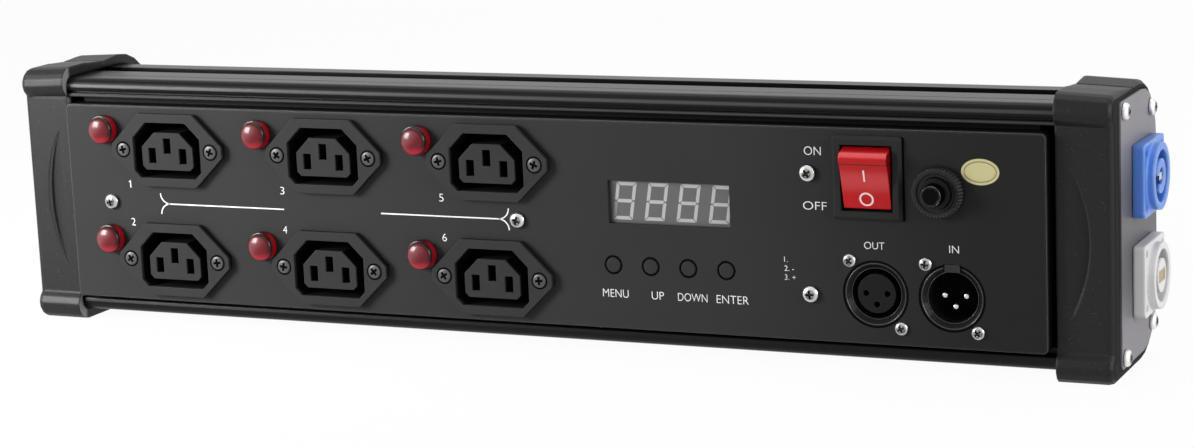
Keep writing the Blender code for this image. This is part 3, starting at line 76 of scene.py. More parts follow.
# Printing on the panel: words, middle (x, y), height of the capitals and length of the word
DIGITS = (
    ("1", -0.1734, 0.0077), ("2", -0.1732, -0.0077), ("3", -0.1037, 0.0076),
    ("4", -0.1035, -0.0079), ("5", -0.0342, 0.0076), ("6", -0.0337, -0.0078),
)
DIGIT_HEIGHT = 0.0030
DIGIT_WIDTH = 0.62 * DIGIT_HEIGHT
WORDS = (
    ("ON", 0.11595, 0.0306, 0.0031, 0.0064),
    ("OFF", 0.11635, 0.0106, 0.0030, 0.0090),
    ("MENU", 0.0367, -0.0258, 0.0030, 0.0104),
    ("UP", 0.0537, -0.0258, 0.0030, 0.0049),
    ("DOWN", 0.0676, -0.0258, 0.0030, 0.0117),
    ("ENTER", 0.0834, -0.0258, 0.0030, 0.0126),
    ("OUT", 0.1384, -0.0030, 0.0026, 0.0076),
    ("IN", 0.1680, -0.0030, 0.0026, 0.0036),
)
PIN_LINES = (("1.", -0.0096), ("2. -", -0.0129), ("3. +", -0.0162))
PIN_LINES_X = 0.1040
PIN_LINES_HEIGHT = 0.0020
PRINT_BOLDNESS = -0.010

# The digit one, in shares of its height: its flag, and the widths of its flag and stem
ONE_FLAG = ((-0.20, 0.23), (-0.02, 0.36), (0.06, 0.50))
ONE_FLAG_WIDTH = 0.11
ONE_STEM_WIDTH = 0.13

# Brackets: where the prongs join (x, y) and the far end of the line (x)
BRACKETS = ((-0.1554, 0.0002, -0.1034), (-0.0103, 0.0004, -0.0606))
BRACKET_REACH = 0.0042
BRACKET_RISE = 0.0042
STROKE = 0.0005

# Oval sticker: its middle, its half sizes, and its ruled line as shares of them
STICKER = (0.1780, 0.0251)
STICKER_HALF = (0.00695, 0.0047)
STICKER_LINE_OUTER = (0.86, 0.80)
STICKER_LINE_INNER = (0.82, 0.74)

# Screws: radius, rim and height of the head, radius and length of the shank, and reach, width and depth
# of the cross recess, whose cutter narrows as it goes in and stands a little over the head
PAN = (0.0031, 0.0005, 0.0020, 0.0013, 0.0046, 0.0019, 0.00095, 0.0012)
PLATE_PAN = (0.0031, 0.0006, 0.0021, 0.0013, 0.0150, 0.0017, 0.00070, 0.0012)
SMALL_PAN = (0.0025, 0.0004, 0.0017, 0.0010, 0.0012, 0.0016, 0.00080, 0.0010)
SUNK = (0.0026, 0.0001, 0.0005, 0.0010, 0.0014, 0.0019, 0.00110, 0.0004)
RECESS_NARROWING = 0.62
RECESS_OVER = 0.2
SCREW_SIDES = 40
SCREW_SEAT = 0.0003
# Reach of the painted shade round a screw's cross
SCREW_SHADE_REACH = 0.0018
SCREW_TURNS = (12.0, -20.0, 33.0, 5.0, -38.0, 25.0, -8.0, 40.0)
SIGNAL_SCREWS = ((-0.0095, 0.0120), (0.0095, -0.0120))
OUTLET_SCREW_REACH = 0.0200
OUTLET_SCREW_GAP = (0.0025, 0.0033)

# Half sections of the turned pieces, as (radius, height above the panel's face). The lamp's goes over
# its ring to a narrow waist, on which the dome stands.
LENS_DOME_FOOT = 0.0038
LENS_DOME_RADII = (0.0053, 0.0023)
LENS_RING_TOP = 0.0030
LENS_SECTION = [
    (0.0, -0.0140), (0.0044, -0.0140), (0.0044, 0.0003), (0.0055, 0.0003), (0.0057, 0.0006),
    (0.0057, LENS_RING_TOP), (0.0055, 0.0034), (0.0052, 0.0035), (0.0052, 0.0037),
]
KEY_SECTION = [
    (0.0, -0.0038), (0.0032, -0.0038), (0.0034, -0.0012), (0.0029, -0.0010), (0.0028, 0.0001),
    (0.0026, 0.0003), (0.0, 0.00035),
]
KEY_GAP_SECTION = [(0.0029, -0.0012), (0.0034, -0.0012), (0.0034, -0.0009), (0.0029, -0.0009)]
KEY_RIM = (0.00305, 0.0034)
BUTTON_SECTION = [
    (0.0, -0.0028), (0.0038, -0.0028), (0.0038, 0.0086), (0.0036, 0.0092), (0.0031, 0.0095),
    (0.0029, 0.0093), (0.0, 0.0092),
]
BUTTON_EDGE_SECTION = [
    (0.00335, 0.0092), (0.00375, 0.0090), (0.00370, 0.0093), (0.00355, 0.0095), (0.00340, 0.0094),
]

# Rings of the signal connectors: a bead, a step inside it and the dark gap round it
BEAD_SECTION = [
    (0.01095, -0.0004), (0.0111, -0.0001), (0.0113, 0.0), (0.0115, -0.0001), (0.01165, -0.0004),
]
STEP_SECTION = [(0.0092, -0.0018), (0.0093, -0.0013), (0.0095, -0.0013), (0.0096, -0.0018)]
SIGNAL_GAP = (0.0117, 0.0124)

# Signal plug: its pins' tips and circle, and the release tab with a slit on each side
PIN_TIP_SECTION = [
    (0.0, -0.0056), (0.0011, -0.0056), (0.0011, -0.0044), (0.00088, -0.0041), (0.00044, -0.00395),
    (0.0, -0.0039),
]
PIN_SIDES = 24
PIN_CIRCLE = 0.0040
TAB_X = 0.0003
TAB_WIDTH = 0.0057
TAB_LOW = 0.0094
TAB_HIGH = 0.0122
TAB_CORNER = 0.0006
TAB_SPAN = (-0.0022, 0.00010)
SLIT_HALF = 0.00025
SLIT_SPAN = (-0.0020, 0.00012)

# Power connectors: the ring's height over its flange, the holes' distance from the sides, the centre
# post, the window round the outlet's contact, and the inlet's contact by its ends and half height
POWER_RING_HEIGHT = 0.0028
POWER_HOLE_INSET = 0.0032
POST_RADIUS = 0.00622
POST_BORE = 0.0032
POST_ANGLES = (-125.0, 170.0)
POST_SPAN = (-0.0020, -0.0002)
POWER_HOLE_RADIUS = 0.0013
WINDOW_REACH = 0.0048
WINDOW_RISE = 0.0022
INLET_CONTACT = ((-0.0022, 0.0014), 0.0013)
CONTACT_SPAN = (-0.0120, -0.0005)

# Display digits, on the face behind the window
SEGMENT_FIRST_X = 0.0411
SEGMENT_PITCH = 0.01275
SEGMENT_MIDDLE_Y = 0.0091
SEGMENT_HALF_WIDTH = 0.0040
SEGMENT_HALF_HEIGHT = 0.0071
SEGMENT_THICKNESS = 0.0013
SEGMENT_GAP = 0.00020
SEGMENT_SLANT = 0.160

# Rocker: heights from the middle of the panel. A roll crosses its top, its face is a little hollow, and
# its hidden back is given as (out, drop below the top).
ROCKER_LOW, ROCKER_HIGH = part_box("rocker")
ROCKER_TOP = ROCKER_HIGH.z - FACE.z
ROCKER_HALF = 0.00898
ROCKER_ROLL = 0.0025
ROCKER_ROLL_DROP = 0.0038
ROCKER_ROLL_START = -48.0
ROCKER_CREASE = ROCKER_TOP - ROCKER_ROLL_DROP + ROCKER_ROLL * math.sin(math.radians(ROCKER_ROLL_START))
ROCKER_FOOT_OUT = 0.0010
ROCKER_FOOT_DROP = 0.0224
ROCKER_HOLLOW = 0.0003
ROCKER_BACK = (
    (-0.0009, ROCKER_FOOT_DROP), (-0.0047, 0.0138), (-0.0047, 0.0088), (-0.0012, 0.0003), (0.0007, 0.0),
)
ROCKER_ROUNDING = 0.00035
ROCKER_ROUNDING_ANGLE = 40.0

# Painted shadow, a dark strip beside the rocker's frame: corners from the foot and from the top of its
# right side
FRAME_SHADOW_FOOT = ((-0.0004, 0.0003), (0.0007, -0.0002))
FRAME_SHADOW_TOP = ((0.0007, -0.0004), (-0.0004, 0.0))

# Marks on the rocker: the line from its crease down, the ring from its foot up
MARK_SINK = 0.0001
MARK_LINE = (-0.0022, -0.0066)
MARK_LINE_WIDTH = 0.00062
MARK_RING = (0.0027, 0.0020)
MARK_RING_RISE = 0.0038
MARK_SIDES = 40

# Painted highlight bands along the rails: height from the panel's middle, half width; and how deep they
# reach
RAIL_HIGHLIGHTS = ((0.0459, 0.0010), (0.0420, 0.0006))
RAIL_DEPTH = 0.0060

# Where the panel's painted border highlight begins, from its middle
PANEL_EDGE_X = 0.186
PANEL_EDGE_Z = 0.0366

# The breaker's ring nut: its ridges, and its half section as (height, inset from the outer radius)
NUT_LOW, NUT_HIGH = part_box("breaker_nut")
NUT_RADIUS = (NUT_HIGH.x - NUT_LOW.x) / 2
NUT_RIDGES = 44
NUT_NOTCH = 0.00055
NUT_BORE = 0.0059
NUT_SECTION = ((0.0003, 0.0), (0.0027, 0.0), (0.0036, 0.0008), (0.0037, 0.0022), (0.0033, 0.0026))

# Distance from the bar's middle to the outer face of an end cap, and the front of the caps
CAP_LOW, CAP_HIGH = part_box("right_end_cap")
CAP_END = CAP_HIGH.x - FACE.x
CAP_FRONT = CAP_LOW.y

# Studio: each lamp's place, aim, size, watts and spread in degrees, the world as it lights the object,
# and the floor's half side and share of white
LIGHTS = (
    ("key_left", (-0.62, -0.50, 0.26), (-0.22, 0.0, 0.05), (0.35, 0.30), 2.4, 80.0),
    ("top_soft", (0.0, 0.3, 1.5), (0.0, 0.0, 0.05), (1.6, 1.0), 6.0, 180.0),
    ("fill_right", (1.5, -0.3, 0.5), (0.1, 0.0, 0.05), (0.8, 0.8), 14.0, 180.0),
)
WORLD_STRENGTH = 0.30
FLOOR_HALF = 6.0
FLOOR_WHITE = 0.96

# Share of its fine octaves in every noise
NOISE_ROUGHNESS = 0.55


# Materials: a small layer over Blender's nodes


class Wire:
    """One output of a node. Arithmetic written with it becomes Math nodes."""

    def __init__(self, nodes, socket):
        self.nodes = nodes
        self.socket = socket

    def math(self, operation, *others):
        return self.nodes.make("ShaderNodeMath", (self, *others), operation=operation)

    def __add__(self, other):
        return self.math("ADD", other)

    __radd__ = __add__

    def __sub__(self, other):
        return self.math("SUBTRACT", other)

    def __rsub__(self, other):
        return self.nodes.make("ShaderNodeMath", (other, self), operation="SUBTRACT")

    def __mul__(self, other):
        return self.math("MULTIPLY", other)

    __rmul__ = __mul__

    def __abs__(self):
        return self.math("ABSOLUTE")

    def step(self, low, high):
        """0 below low, 1 above high, and smooth between them."""
        values = {"Value": self, "From Min": low, "From Max": high}
        return self.nodes.make("ShaderNodeMapRange", values, interpolation_type="SMOOTHSTEP")


class Nodes:
    """The node tree of a material or a world."""

    def __init__(self, tree):
        self.tree = tree
        tree.nodes.clear()

    def make(self, kind, inputs=(), output=0, **settings):
        node = self.tree.nodes.new(kind)
        for name, value in settings.items():
            setattr(node, name, value)
        pairs = inputs.items() if isinstance(inputs, dict) else enumerate(inputs)
        for key, value in pairs:
            self.feed(node.inputs[key], value)
        return Wire(self, node.outputs[output]) if len(node.outputs) else node

    def feed(self, socket, value):
        if isinstance(value, Wire):
            self.tree.links.new(value.socket, socket)
        else:
            socket.default_value = (*value, 1.0) if socket.type == "RGBA" else value

    def place(self, stretch=(1.0, 1.0, 1.0)):
        """The piece's own coordinates, stretched."""
        spot = self.make("ShaderNodeTexCoord", output="Object")
        return self.make("ShaderNodeVectorMath", [spot, stretch], operation="MULTIPLY")

    def noise(self, scale, detail=3.0, stretch=(1.0, 1.0, 1.0)):
        values = {"Vector": self.place(stretch), "Scale": scale, "Detail": detail}
        return self.make("ShaderNodeTexNoise", {**values, "Roughness": NOISE_ROUGHNESS})

    def axis(self, name):
        return self.make("ShaderNodeSeparateXYZ", [self.place()], output=name)

    def off_axis(self):
        """Distance from the piece's own Z axis."""
        flat = self.make("ShaderNodeCombineXYZ", [self.axis("X"), self.axis("Y"), 0.0])
        return self.make("ShaderNodeVectorMath", [flat], output="Value", operation="LENGTH")

    def bump(self, height, distance, normal):
        return self.make("ShaderNodeBump", {"Height": height, "Distance": distance, "Normal": normal})

    def bevel(self, radius):
        return self.make("ShaderNodeBevel", {"Radius": radius}, samples=6)

    def edges(self, bevel, gain=3.0):
        """1 on an edge and 0 on a flat or evenly curved surface."""
        normal = self.make("ShaderNodeNewGeometry", output="Normal")
        pair = [bevel, normal]
        same = self.make("ShaderNodeVectorMath", pair, output="Value", operation="DOT_PRODUCT")
        return ((1.0 - same) * gain).step(0.0, 1.0)

    def blend(self, amount, first, second):
        """A colour between two colours."""
        values = {"Factor": amount, 6: first, 7: second}
        return self.make("ShaderNodeMix", values, output=2, data_type="RGBA")


def grey(value):
    return (value, value, value)


class Paint(Nodes):
    """A material with a Principled BSDF, whose inputs are numbers, colours or wires."""

    def __init__(self, name):
        self.material = bpy.data.materials.new(name)
        self.material.use_nodes = True
        super().__init__(self.material.node_tree)
        self.shader = self.tree.nodes.new("ShaderNodeBsdfPrincipled")
        self.output = self.tree.nodes.new("ShaderNodeOutputMaterial")
        self.tree.links.new(self.shader.outputs[0], self.output.inputs["Surface"])

    def set(self, **inputs):
        for name, value in inputs.items():
            self.feed(self.shader.inputs[name.replace("_", " ")], value)
        return self.material


def moulding(name, shade, roughness, edge=0.0001, specular=0.3, edge_highlight=1.8, deep_shade_y=None):
    """Moulded black plastic: fine grain, a painted highlight on its edges, and painted shade, near
    black, deep inside its openings.
    """
    paint = Paint(name)
    grains = paint.noise(2600.0)
    cloud = paint.noise(38.0, 2.0)
    bevel = paint.bevel(edge)
    rim = paint.edges(bevel)
    base = paint.blend(cloud, grey(shade * 0.88), grey(shade * 1.12))
    # Painted highlight on the edges
    lit = paint.blend(rim, base, grey(shade * edge_highlight))
    rough = roughness + (grains - 0.5) * 0.16
    # Painted shade, near black, deep inside the openings
    if deep_shade_y:
        deep = paint.axis("Y").step(*deep_shade_y)
        lit = paint.blend(deep, lit, grey(0.0008))
        rough = rough + deep * (0.95 - roughness)
    return paint.set(
        Base_Color=lit,
        Roughness=rough,
        Specular_IOR_Level=specular,
        Normal=paint.bump(grains, 0.00002, bevel),
    )


def panel_paint(name, bent):
    """Sprayed steel. The bent panel has painted shade toward its right end, a painted highlight on its
    outer border and painted shade, near black, on its turned edges behind the face. With bent False, as
    on the key caps, the edges have a painted highlight.
    """
    paint = Paint(name)
    grains = paint.noise(3200.0)
    bevel = paint.bevel(0.0004)
    cloud = paint.noise(22.0, 2.0)
    base = paint.blend(cloud, (0.0225, 0.0228, 0.0230), (0.0275, 0.0279, 0.0280))
    if bent:
        # Painted shade: darker toward the panel's right end
        right_end_shade = (paint.axis("X") - FACE.x).step(0.080, 0.185) * 0.5
        base = paint.blend(right_end_shade, base, (0.0050, 0.0056, 0.0054))
        # Painted highlight on the edges of the outer border
        aside = abs(paint.axis("X") - FACE.x).step(PANEL_EDGE_X, PANEL_EDGE_X + 0.001)
        above = abs(paint.axis("Z") - FACE.z).step(PANEL_EDGE_Z, PANEL_EDGE_Z + 0.001)
        rim = paint.edges(bevel, 6.0) * aside.math("MAXIMUM", above)
        # Painted shade, near black, on the turned edges behind the face
        behind = paint.axis("Y").step(FACE.y + 0.0008, FACE.y + 0.0018)
        base = paint.blend(behind, paint.blend(rim, base, grey(0.280)), grey(0.0015))
    else:
        # Painted highlight on the edges
        base = paint.blend(paint.edges(bevel, 3.0), base, grey(0.060))
    return paint.set(
        Base_Color=base,
        Roughness=0.44 + (grains - 0.5) * 0.10,
        Specular_IOR_Level=0.07,
        Normal=paint.bump(grains, 0.000008, bevel),
    )


def anodised():
    """Black anodised aluminium with the faint lines of its extrusion along the bar, painted highlight
    bands along its rails and a painted highlight on its edges.
    """
    paint = Paint("housing_anodised")
    lines = paint.noise(1.0, 3.0, (6.0, 2400.0, 2400.0))
    bevel = paint.bevel(0.0005)
    base = paint.blend(lines, grey(0.0025), grey(0.0045))
    front = 1.0 - paint.axis("Y").step(FACE.y + RAIL_DEPTH - 0.0002, FACE.y + RAIL_DEPTH + 0.0002)
    level = paint.axis("Z") - FACE.z
    # Painted highlight bands along the front of the rails
    for height, half in RAIL_HIGHLIGHTS:
        band = front * (1.0 - abs(level - height).step(half * 0.2, half))
        base = paint.blend(band, base, grey(0.050))
    # Painted highlight on the edges, in the colour below
    return paint.set(
        Base_Color=paint.blend(paint.edges(bevel, 3.0), base, grey(0.030)),
        Roughness=0.30 + (lines - 0.5) * 0.12,
        Specular_IOR_Level=0.13,
        Normal=paint.bump(lines, 0.000003, bevel),
    )


def cap_plastic():
    """Textured black plastic with pale specks; a painted highlight on the edges, painted light on the
    finger grips' inward walls, and painted shade, near black, on the outer ends beside the plates.
    """
    paint = Paint("cap_plastic")
    grains = paint.noise(1900.0)
    specks = paint.noise(1700.0, 1.0).step(0.70, 0.76)
    bevel = paint.bevel(0.0013)
    rim = paint.edges(bevel, 2.0)
    base = paint.blend(specks, grey(0.0065), grey(0.050))
    aside = paint.axis("X") - FACE.x
    # Painted highlight on the edges
    lit = paint.blend(rim, base, grey(0.060))
    # Painted light on the finger grips' walls that face the bar's middle, stronger on the left cap
    facing = paint.make("ShaderNodeNewGeometry", output="Normal")
    inward = -1.0 * paint.make("ShaderNodeSeparateXYZ", [facing]) * aside.math("SIGN")
    front = 1.0 - paint.axis("Y").step(CAP_FRONT + 0.004, CAP_FRONT + 0.006)
    grip_light = paint.blend(aside.step(-0.01, 0.01), grey(0.220), grey(0.050))
    lit = paint.blend(inward.step(0.15, 0.45) * front, lit, grip_light)
    # Painted shade, near black, on the outer ends beside the plates
    end = abs(aside).step(CAP_END - 0.0004, CAP_END - 0.0002)
    return paint.set(
        Base_Color=paint.blend(end, lit, grey(0.001)),
        Roughness=0.44 + (grains - 0.5) * 0.2 + end * 0.4,
        Specular_IOR_Level=0.22,
        Normal=paint.bump(grains, 0.00005, bevel),
    )


def plate_paint():
    """Sheet whose grey with a little violet is a painted reflection, darker across its middle."""
    paint = Paint("plate_paint")
    grains = paint.noise(1800.0)
    bevel = paint.bevel(0.0004)
    aside = abs(paint.axis("Z") - FACE.z)
    # Painted reflection: grey with a little violet
    base = paint.blend(paint.noise(18.0, 2.0), (0.150, 0.142, 0.160), (0.205, 0.195, 0.215))
    return paint.set(
        # Darker across the middle, part of the painted reflection
        Base_Color=paint.blend(aside.step(0.012, 0.040), (0.070, 0.067, 0.074), base),
        Roughness=0.46 + (grains - 0.5) * 0.12,
        Normal=paint.bump(grains, 0.00001, bevel),
    )


def lamp_lens():
    """Red lens with painted light: a painted sheen on its dome, paler toward the upper left, painted
    shade at the dome's edge and at its waist, and a painted glow low in it and along the right of its
    ring.
    """
    paint = Paint("lamp_lens")
    out = paint.axis("Z")
    across = paint.axis("X")
    up = paint.axis("Y")
    reach = paint.off_axis()
    dome = out.step(LENS_DOME_FOOT - 0.0001, LENS_DOME_FOOT + 0.0001)
    rim = 1.0 - out.step(LENS_RING_TOP, LENS_RING_TOP + 0.0004)
    far = across.step(0.0012, 0.0040)
    # The dome's edge beyond this reach has no sheen: painted shade
    inside = 1.0 - reach.step(0.0036, 0.0048)
    low = 1.0 - up.step(-0.0046, -0.0014)
    streaks = paint.noise(520.0, 2.0)
    # Painted highlight: paler toward the upper left of the dome
    lit = 1.0 - (across - up).step(-0.0040, 0.0030)
    deep = (0.100, 0.003, 0.006)
    pale = (0.160, 0.045, 0.048)
    # Painted sheen on the dome, streaked, short of its edge
    sheen = dome * inside * (0.35 + streaks * 0.65)
    # Painted glow low in the dome, given as emission
    foot = dome * low * reach.step(0.0018, 0.0034)
    # Painted shade: darkest at the waist between dome and ring
    waist = paint.blend(dome + rim, (0.006, 0.001, 0.001), (0.035, 0.002, 0.003))
    # Painted glow, as emission, along the right of the ring and faintly over the dome
    glow = paint.blend(rim * far, grey(0.0), (0.17, 0.001, 0.004))
    glow = paint.blend(dome * inside, glow, (0.030, 0.0, 0.002))
    return paint.set(
        Base_Color=paint.blend(sheen, waist, paint.blend(lit, deep, pale)),
        Roughness=0.34,
        Specular_IOR_Level=0.12,
        Coat_Weight=0.32,
        Coat_Roughness=0.10,
        Emission_Color=paint.blend(foot, glow, (0.33, 0.006, 0.022)),
        Emission_Strength=1.0,
    )


def rocker_plastic():
    """Glossy red paddle with painted light: a painted highlight across its roll, a painted pink sheen on
    its face, painted shade in a fine crease below the roll, and painted shade on its sides.
    """
    paint = Paint("rocker_plastic")
    bevel = paint.bevel(0.0003)
    cloud = paint.noise(300.0, 3.0)
    up = paint.axis("Y")
    # Painted highlight across the roll
    over = 1.0 - up.step(ROCKER_TOP - 0.0020, ROCKER_TOP - 0.0010)
    roll = over * up.step(ROCKER_TOP - 0.0036, ROCKER_TOP - 0.0024)
    # Painted shade in a fine crease below the roll
    crease = up.step(ROCKER_CREASE - 0.0004, ROCKER_CREASE - 0.0001)
    crease = crease * (1.0 - up.step(ROCKER_CREASE + 0.0001, ROCKER_CREASE + 0.0004))
    base = paint.blend(cloud, (0.38, 0.004, 0.006), (0.45, 0.006, 0.009))
    # Painted pink sheen on the face below the crease
    painted_haze = up.step(ROCKER_CREASE - 0.0120, ROCKER_CREASE - 0.0070)
    painted_haze = painted_haze * (1.0 - up.step(ROCKER_CREASE - 0.0050, ROCKER_CREASE - 0.0010)) * 0.5
    hazy = paint.blend(painted_haze, base, (0.50, 0.075, 0.080))
    lifted = paint.blend(roll, hazy, (0.62, 0.075, 0.085))
    # Painted shade on the sides
    side = abs(paint.axis("X")).step(ROCKER_HALF - 0.0002, ROCKER_HALF)
    lifted = paint.blend(side, lifted, (0.17, 0.002, 0.002))
    return paint.set(
        Base_Color=paint.blend(crease * 0.8, lifted, (0.08, 0.001, 0.002)),
        Roughness=0.26,
        Specular_IOR_Level=0.14,
        Coat_Weight=0.1,
        Coat_Roughness=0.10,
        Normal=bevel,
    )


def knurled():
    """Black ring nut with a painted highlight, in patches, on its ridges near its rim and on its edges.
    """
    paint = Paint("breaker_nut")
    grains = paint.noise(2000.0)
    bevel = paint.bevel(0.0003)
    angle = paint.axis("Y").math("ARCTAN2", paint.axis("X"))
    ridges = (angle * NUT_RIDGES).math("SINE").step(0.0, 0.7)
    outer = paint.off_axis().step(NUT_RADIUS - 0.0018, NUT_RADIUS - 0.0008)
    # Patches where the ridges' painted highlight is stronger
    painted_patch = paint.noise(260.0, 2.0).step(0.35, 0.65)
    rim = paint.edges(bevel, 4.0) * 0.5
    # Painted highlight on the ridges near the rim and on the edges
    base = paint.blend(ridges * outer * (0.15 + painted_patch * 0.40) + rim, grey(0.014), grey(0.090))
    return paint.set(
        Base_Color=base,
        Roughness=0.40 + (grains - 0.5) * 0.12,
        Specular_IOR_Level=0.12,
        Normal=paint.bump(ridges * outer, 0.0002, bevel),
    )


def metal(name, colour, roughness, cross=None):
    """Plated metal, its tone varying at random. On a screw it has painted shade, in blotches, round a
    cross of the given reach, and painted shade toward one side of the head.
    """
    paint = Paint(name)
    marks = paint.noise(900.0, 3.0)
    tarnish = tuple(0.75 * value for value in colour)
    base = paint.blend(marks, tarnish, colour)
    if cross:
        # Painted shade round the cross recess, in blotches
        painted_patch = 1.0 - paint.off_axis().step(cross * 0.75, cross * 1.35)
        shade_blotch = paint.noise(1500.0, 2.0).step(0.30, 0.60)
        # Painted shade toward one side of the head
        away = (paint.axis("X") - paint.axis("Y")).step(0.0010, 0.0040)
        base = paint.blend(painted_patch * (0.45 + shade_blotch * 0.5) + away * 0.3, base, grey(0.06))
    return paint.set(
        Base_Color=base,
        Metallic=1.0,
        Roughness=roughness + (marks - 0.5) * 0.15,
        Normal=paint.bump(marks, 0.00001, paint.bevel(0.0001)),
    )


def coloured(name, dark, light, roughness, edge=0.0005):
    """Coloured moulding with a fine grain and a painted highlight on its edges."""
    paint = Paint(name)
    grains = paint.noise(2400.0)
    bevel = paint.bevel(edge)
    rim = paint.edges(bevel, 2.0)
    # Painted highlight on the edges
    base = paint.blend(rim * 0.9 + grains * 0.1, dark, light)
    return paint.set(
        Base_Color=base,
        Roughness=roughness + (grains - 0.5) * 0.1,
        Normal=paint.bump(grains, 0.00001, bevel),
    )


def ink(name, colour):
    """Screen-printed ink, a little uneven."""
    paint = Paint(name)
    patches = paint.noise(1500.0)
    faded = tuple(0.82 * value for value in colour)
    base = paint.blend(patches, faded, colour)
    return paint.set(Base_Color=base, Roughness=0.55)


def display_face():
    """Smoked face behind the window."""
    paint = Paint("display_face")
    cloud = paint.noise(160.0, 3.0)
    base = paint.blend(cloud, (0.060, 0.060, 0.063), (0.078, 0.078, 0.081))
    return paint.set(Base_Color=base, Roughness=0.30, Coat_Weight=0.4, Coat_Roughness=0.15)


PAINTS = {
    "housing_anodised": anodised(),
    "panel_paint": panel_paint("panel_paint", bent=True),
    "cap_plastic": cap_plastic(),
    "plate_paint": plate_paint(),
    "outlet_plastic": moulding(
        "outlet_plastic", shade=0.024, roughness=0.42, edge=0.0003, specular=0.09, edge_highlight=1.6,
        deep_shade_y=(FACE.y - 0.0019, FACE.y - 0.0006)),
    "lamp_lens": lamp_lens(),
    "display_face": display_face(),
    "key_plastic": moulding("key_plastic", shade=0.010, roughness=0.42, edge=0.0002),
    "rocker_plastic": rocker_plastic(),
    "connector_plastic": moulding(
        "connector_plastic", shade=0.0060, roughness=0.36, edge=0.0003, specular=0.12, edge_highlight=5.0,
        deep_shade_y=(FACE.y + 0.0022, FACE.y + 0.0050)),
    "inlet_plastic": coloured("inlet_plastic", (0.055, 0.190, 0.68), (0.42, 0.66, 1.00), 0.34, 0.0018),
    "outlet_grey": coloured("outlet_grey", grey(0.68), (0.92, 0.92, 0.91), 0.42, 0.0014),
    "nickel": metal("nickel", (0.70, 0.69, 0.66), 0.26),
    "brass": metal("brass", (0.52, 0.40, 0.17), 0.32),
    "board": coloured("board", (0.010, 0.075, 0.030), (0.020, 0.120, 0.050), 0.45),
    "relay_plastic": coloured("relay_plastic", (0.020, 0.080, 0.30), (0.040, 0.12, 0.42), 0.36),
    "supply_plastic": moulding("supply_plastic", shade=0.030, roughness=0.50, edge=0.0004),
}

# Paints of single nodes, and of pieces that are in this file alone
NODE_PAINTS = {
    "rocker_frame": moulding(
        "rocker_frame", shade=0.019, roughness=0.44, edge=0.0004, specular=0.07, edge_highlight=1.25),
}
# Near black: painted shade in the sunk screws' cross recesses, the strip of painted shadow beside the
# rocker's frame, and the dark gaps round keys, screws, rings and the tab
DARK = moulding("dark_recess", shade=0.001, roughness=0.90, specular=0.05)
RING_GLOSS = moulding("ring_gloss", shade=0.014, roughness=0.20, specular=0.7, edge_highlight=1.0)
RECESS = moulding("screw_recess", shade=0.014, roughness=0.40, specular=0.4, edge_highlight=1.0)
SCREW_GREY = moulding("screw_grey", shade=0.048, roughness=0.34, specular=0.4, edge_highlight=1.2)
# The breaker's button: near black, with a strong painted highlight on its edges
BUTTON = moulding("breaker_button", shade=0.0010, roughness=0.22, edge=0.0003, specular=0.05, edge_highlight=90.0)
KEY_CAP = panel_paint("key_cap", bent=False)
NUT = knurled()
SCREW_SILVER = metal("screw_silver", (0.80, 0.79, 0.77), 0.24, cross=SCREW_SHADE_REACH)
PLATE_SCREW = metal("plate_screw", (0.92, 0.91, 0.90), 0.46, cross=SCREW_SHADE_REACH)
# Darker tones for the power connectors' fixing holes: painted shade
INLET_SHADE = coloured("inlet_shade", (0.030, 0.11, 0.50), (0.05, 0.15, 0.60), 0.4)
OUTLET_SHADE = coloured("outlet_shade", (0.42, 0.42, 0.44), (0.50, 0.50, 0.51), 0.4)
WHITE_INK = ink("white_ink", grey(0.74))
RED_MARK = ink("rocker_mark", (0.90, 0.62, 0.62))
STICKER_INK = ink("sticker_paper", (0.56, 0.52, 0.26))
STICKER_LINE = ink("sticker_line", (0.10, 0.10, 0.06))
SEGMENT_BRIGHT = ink("segment_bright", grey(0.38))
SEGMENT_DIM = ink("segment_dim", (0.20, 0.20, 0.205))


# Shapes, each drawn in a seat's own axes


def arc(centre, radii, start, end, steps):
    """Points on an elliptical arc, from the start angle to the end angle in degrees."""
    points = []
    for index in range(steps + 1):
        angle = math.radians(start + (end - start) * index / steps)
        points.append((centre[0] + radii[0] * math.cos(angle), centre[1] + radii[1] * math.sin(angle)))
    return points


def oval(radii, steps=FINE):
    return arc((0.0, 0.0), radii, 0.0, 360.0, steps)[:-1]


def circle(radius, steps=FINE):
    return oval((radius, radius), steps)


def box_outline(across, up):
    """A rectangle's corners, from its extent in x and in y."""
    return [(across[0], up[0]), (across[1], up[0]), (across[1], up[1]), (across[0], up[1])]


def around(count):
    """Each index of a closed ring, with the next one."""
    return [(index, (index + 1) % count) for index in range(count)]


def linked(name, data):
    """A new object in the scene."""
    thing = bpy.data.objects.new(name, data)
    bpy.context.scene.collection.objects.link(thing)
    return thing


def new_piece(name, verts, faces, smooth=False):
    mesh = bpy.data.meshes.new(name)
    mesh.from_pydata(verts, [], faces)
    mesh.update()
    if smooth:
        mesh.shade_smooth()
        mesh.set_sharp_from_angle(angle=math.radians(SHARP_ANGLE))
    return linked(name, mesh)


def turned(name, section, steps=FINE, outline=circle):
    """A turned solid about the local z axis, from a half section of (radius, height) points."""
    verts = []
    rings = []
    for radius, height in section:
        points = outline(radius, steps) if radius else [(0.0, 0.0)]
        rings.append(range(len(verts), len(verts) + len(points)))
        verts += [(x, y, height) for x, y in points]
    pairs = list(zip(rings, rings[1:]))
    if len(rings[0]) > 1:
        pairs.append((rings[-1], rings[0]))
    faces = []
    for low, high in pairs:
        for index, after in around(steps):
            if len(low) == 1:
                faces.append((low[0], high[after], high[index]))
            elif len(high) == 1:
                faces.append((low[index], low[after], high[0]))
            else:
                faces.append((low[index], low[after], high[after], high[index]))
    return new_piece(name, verts, faces, smooth=True)


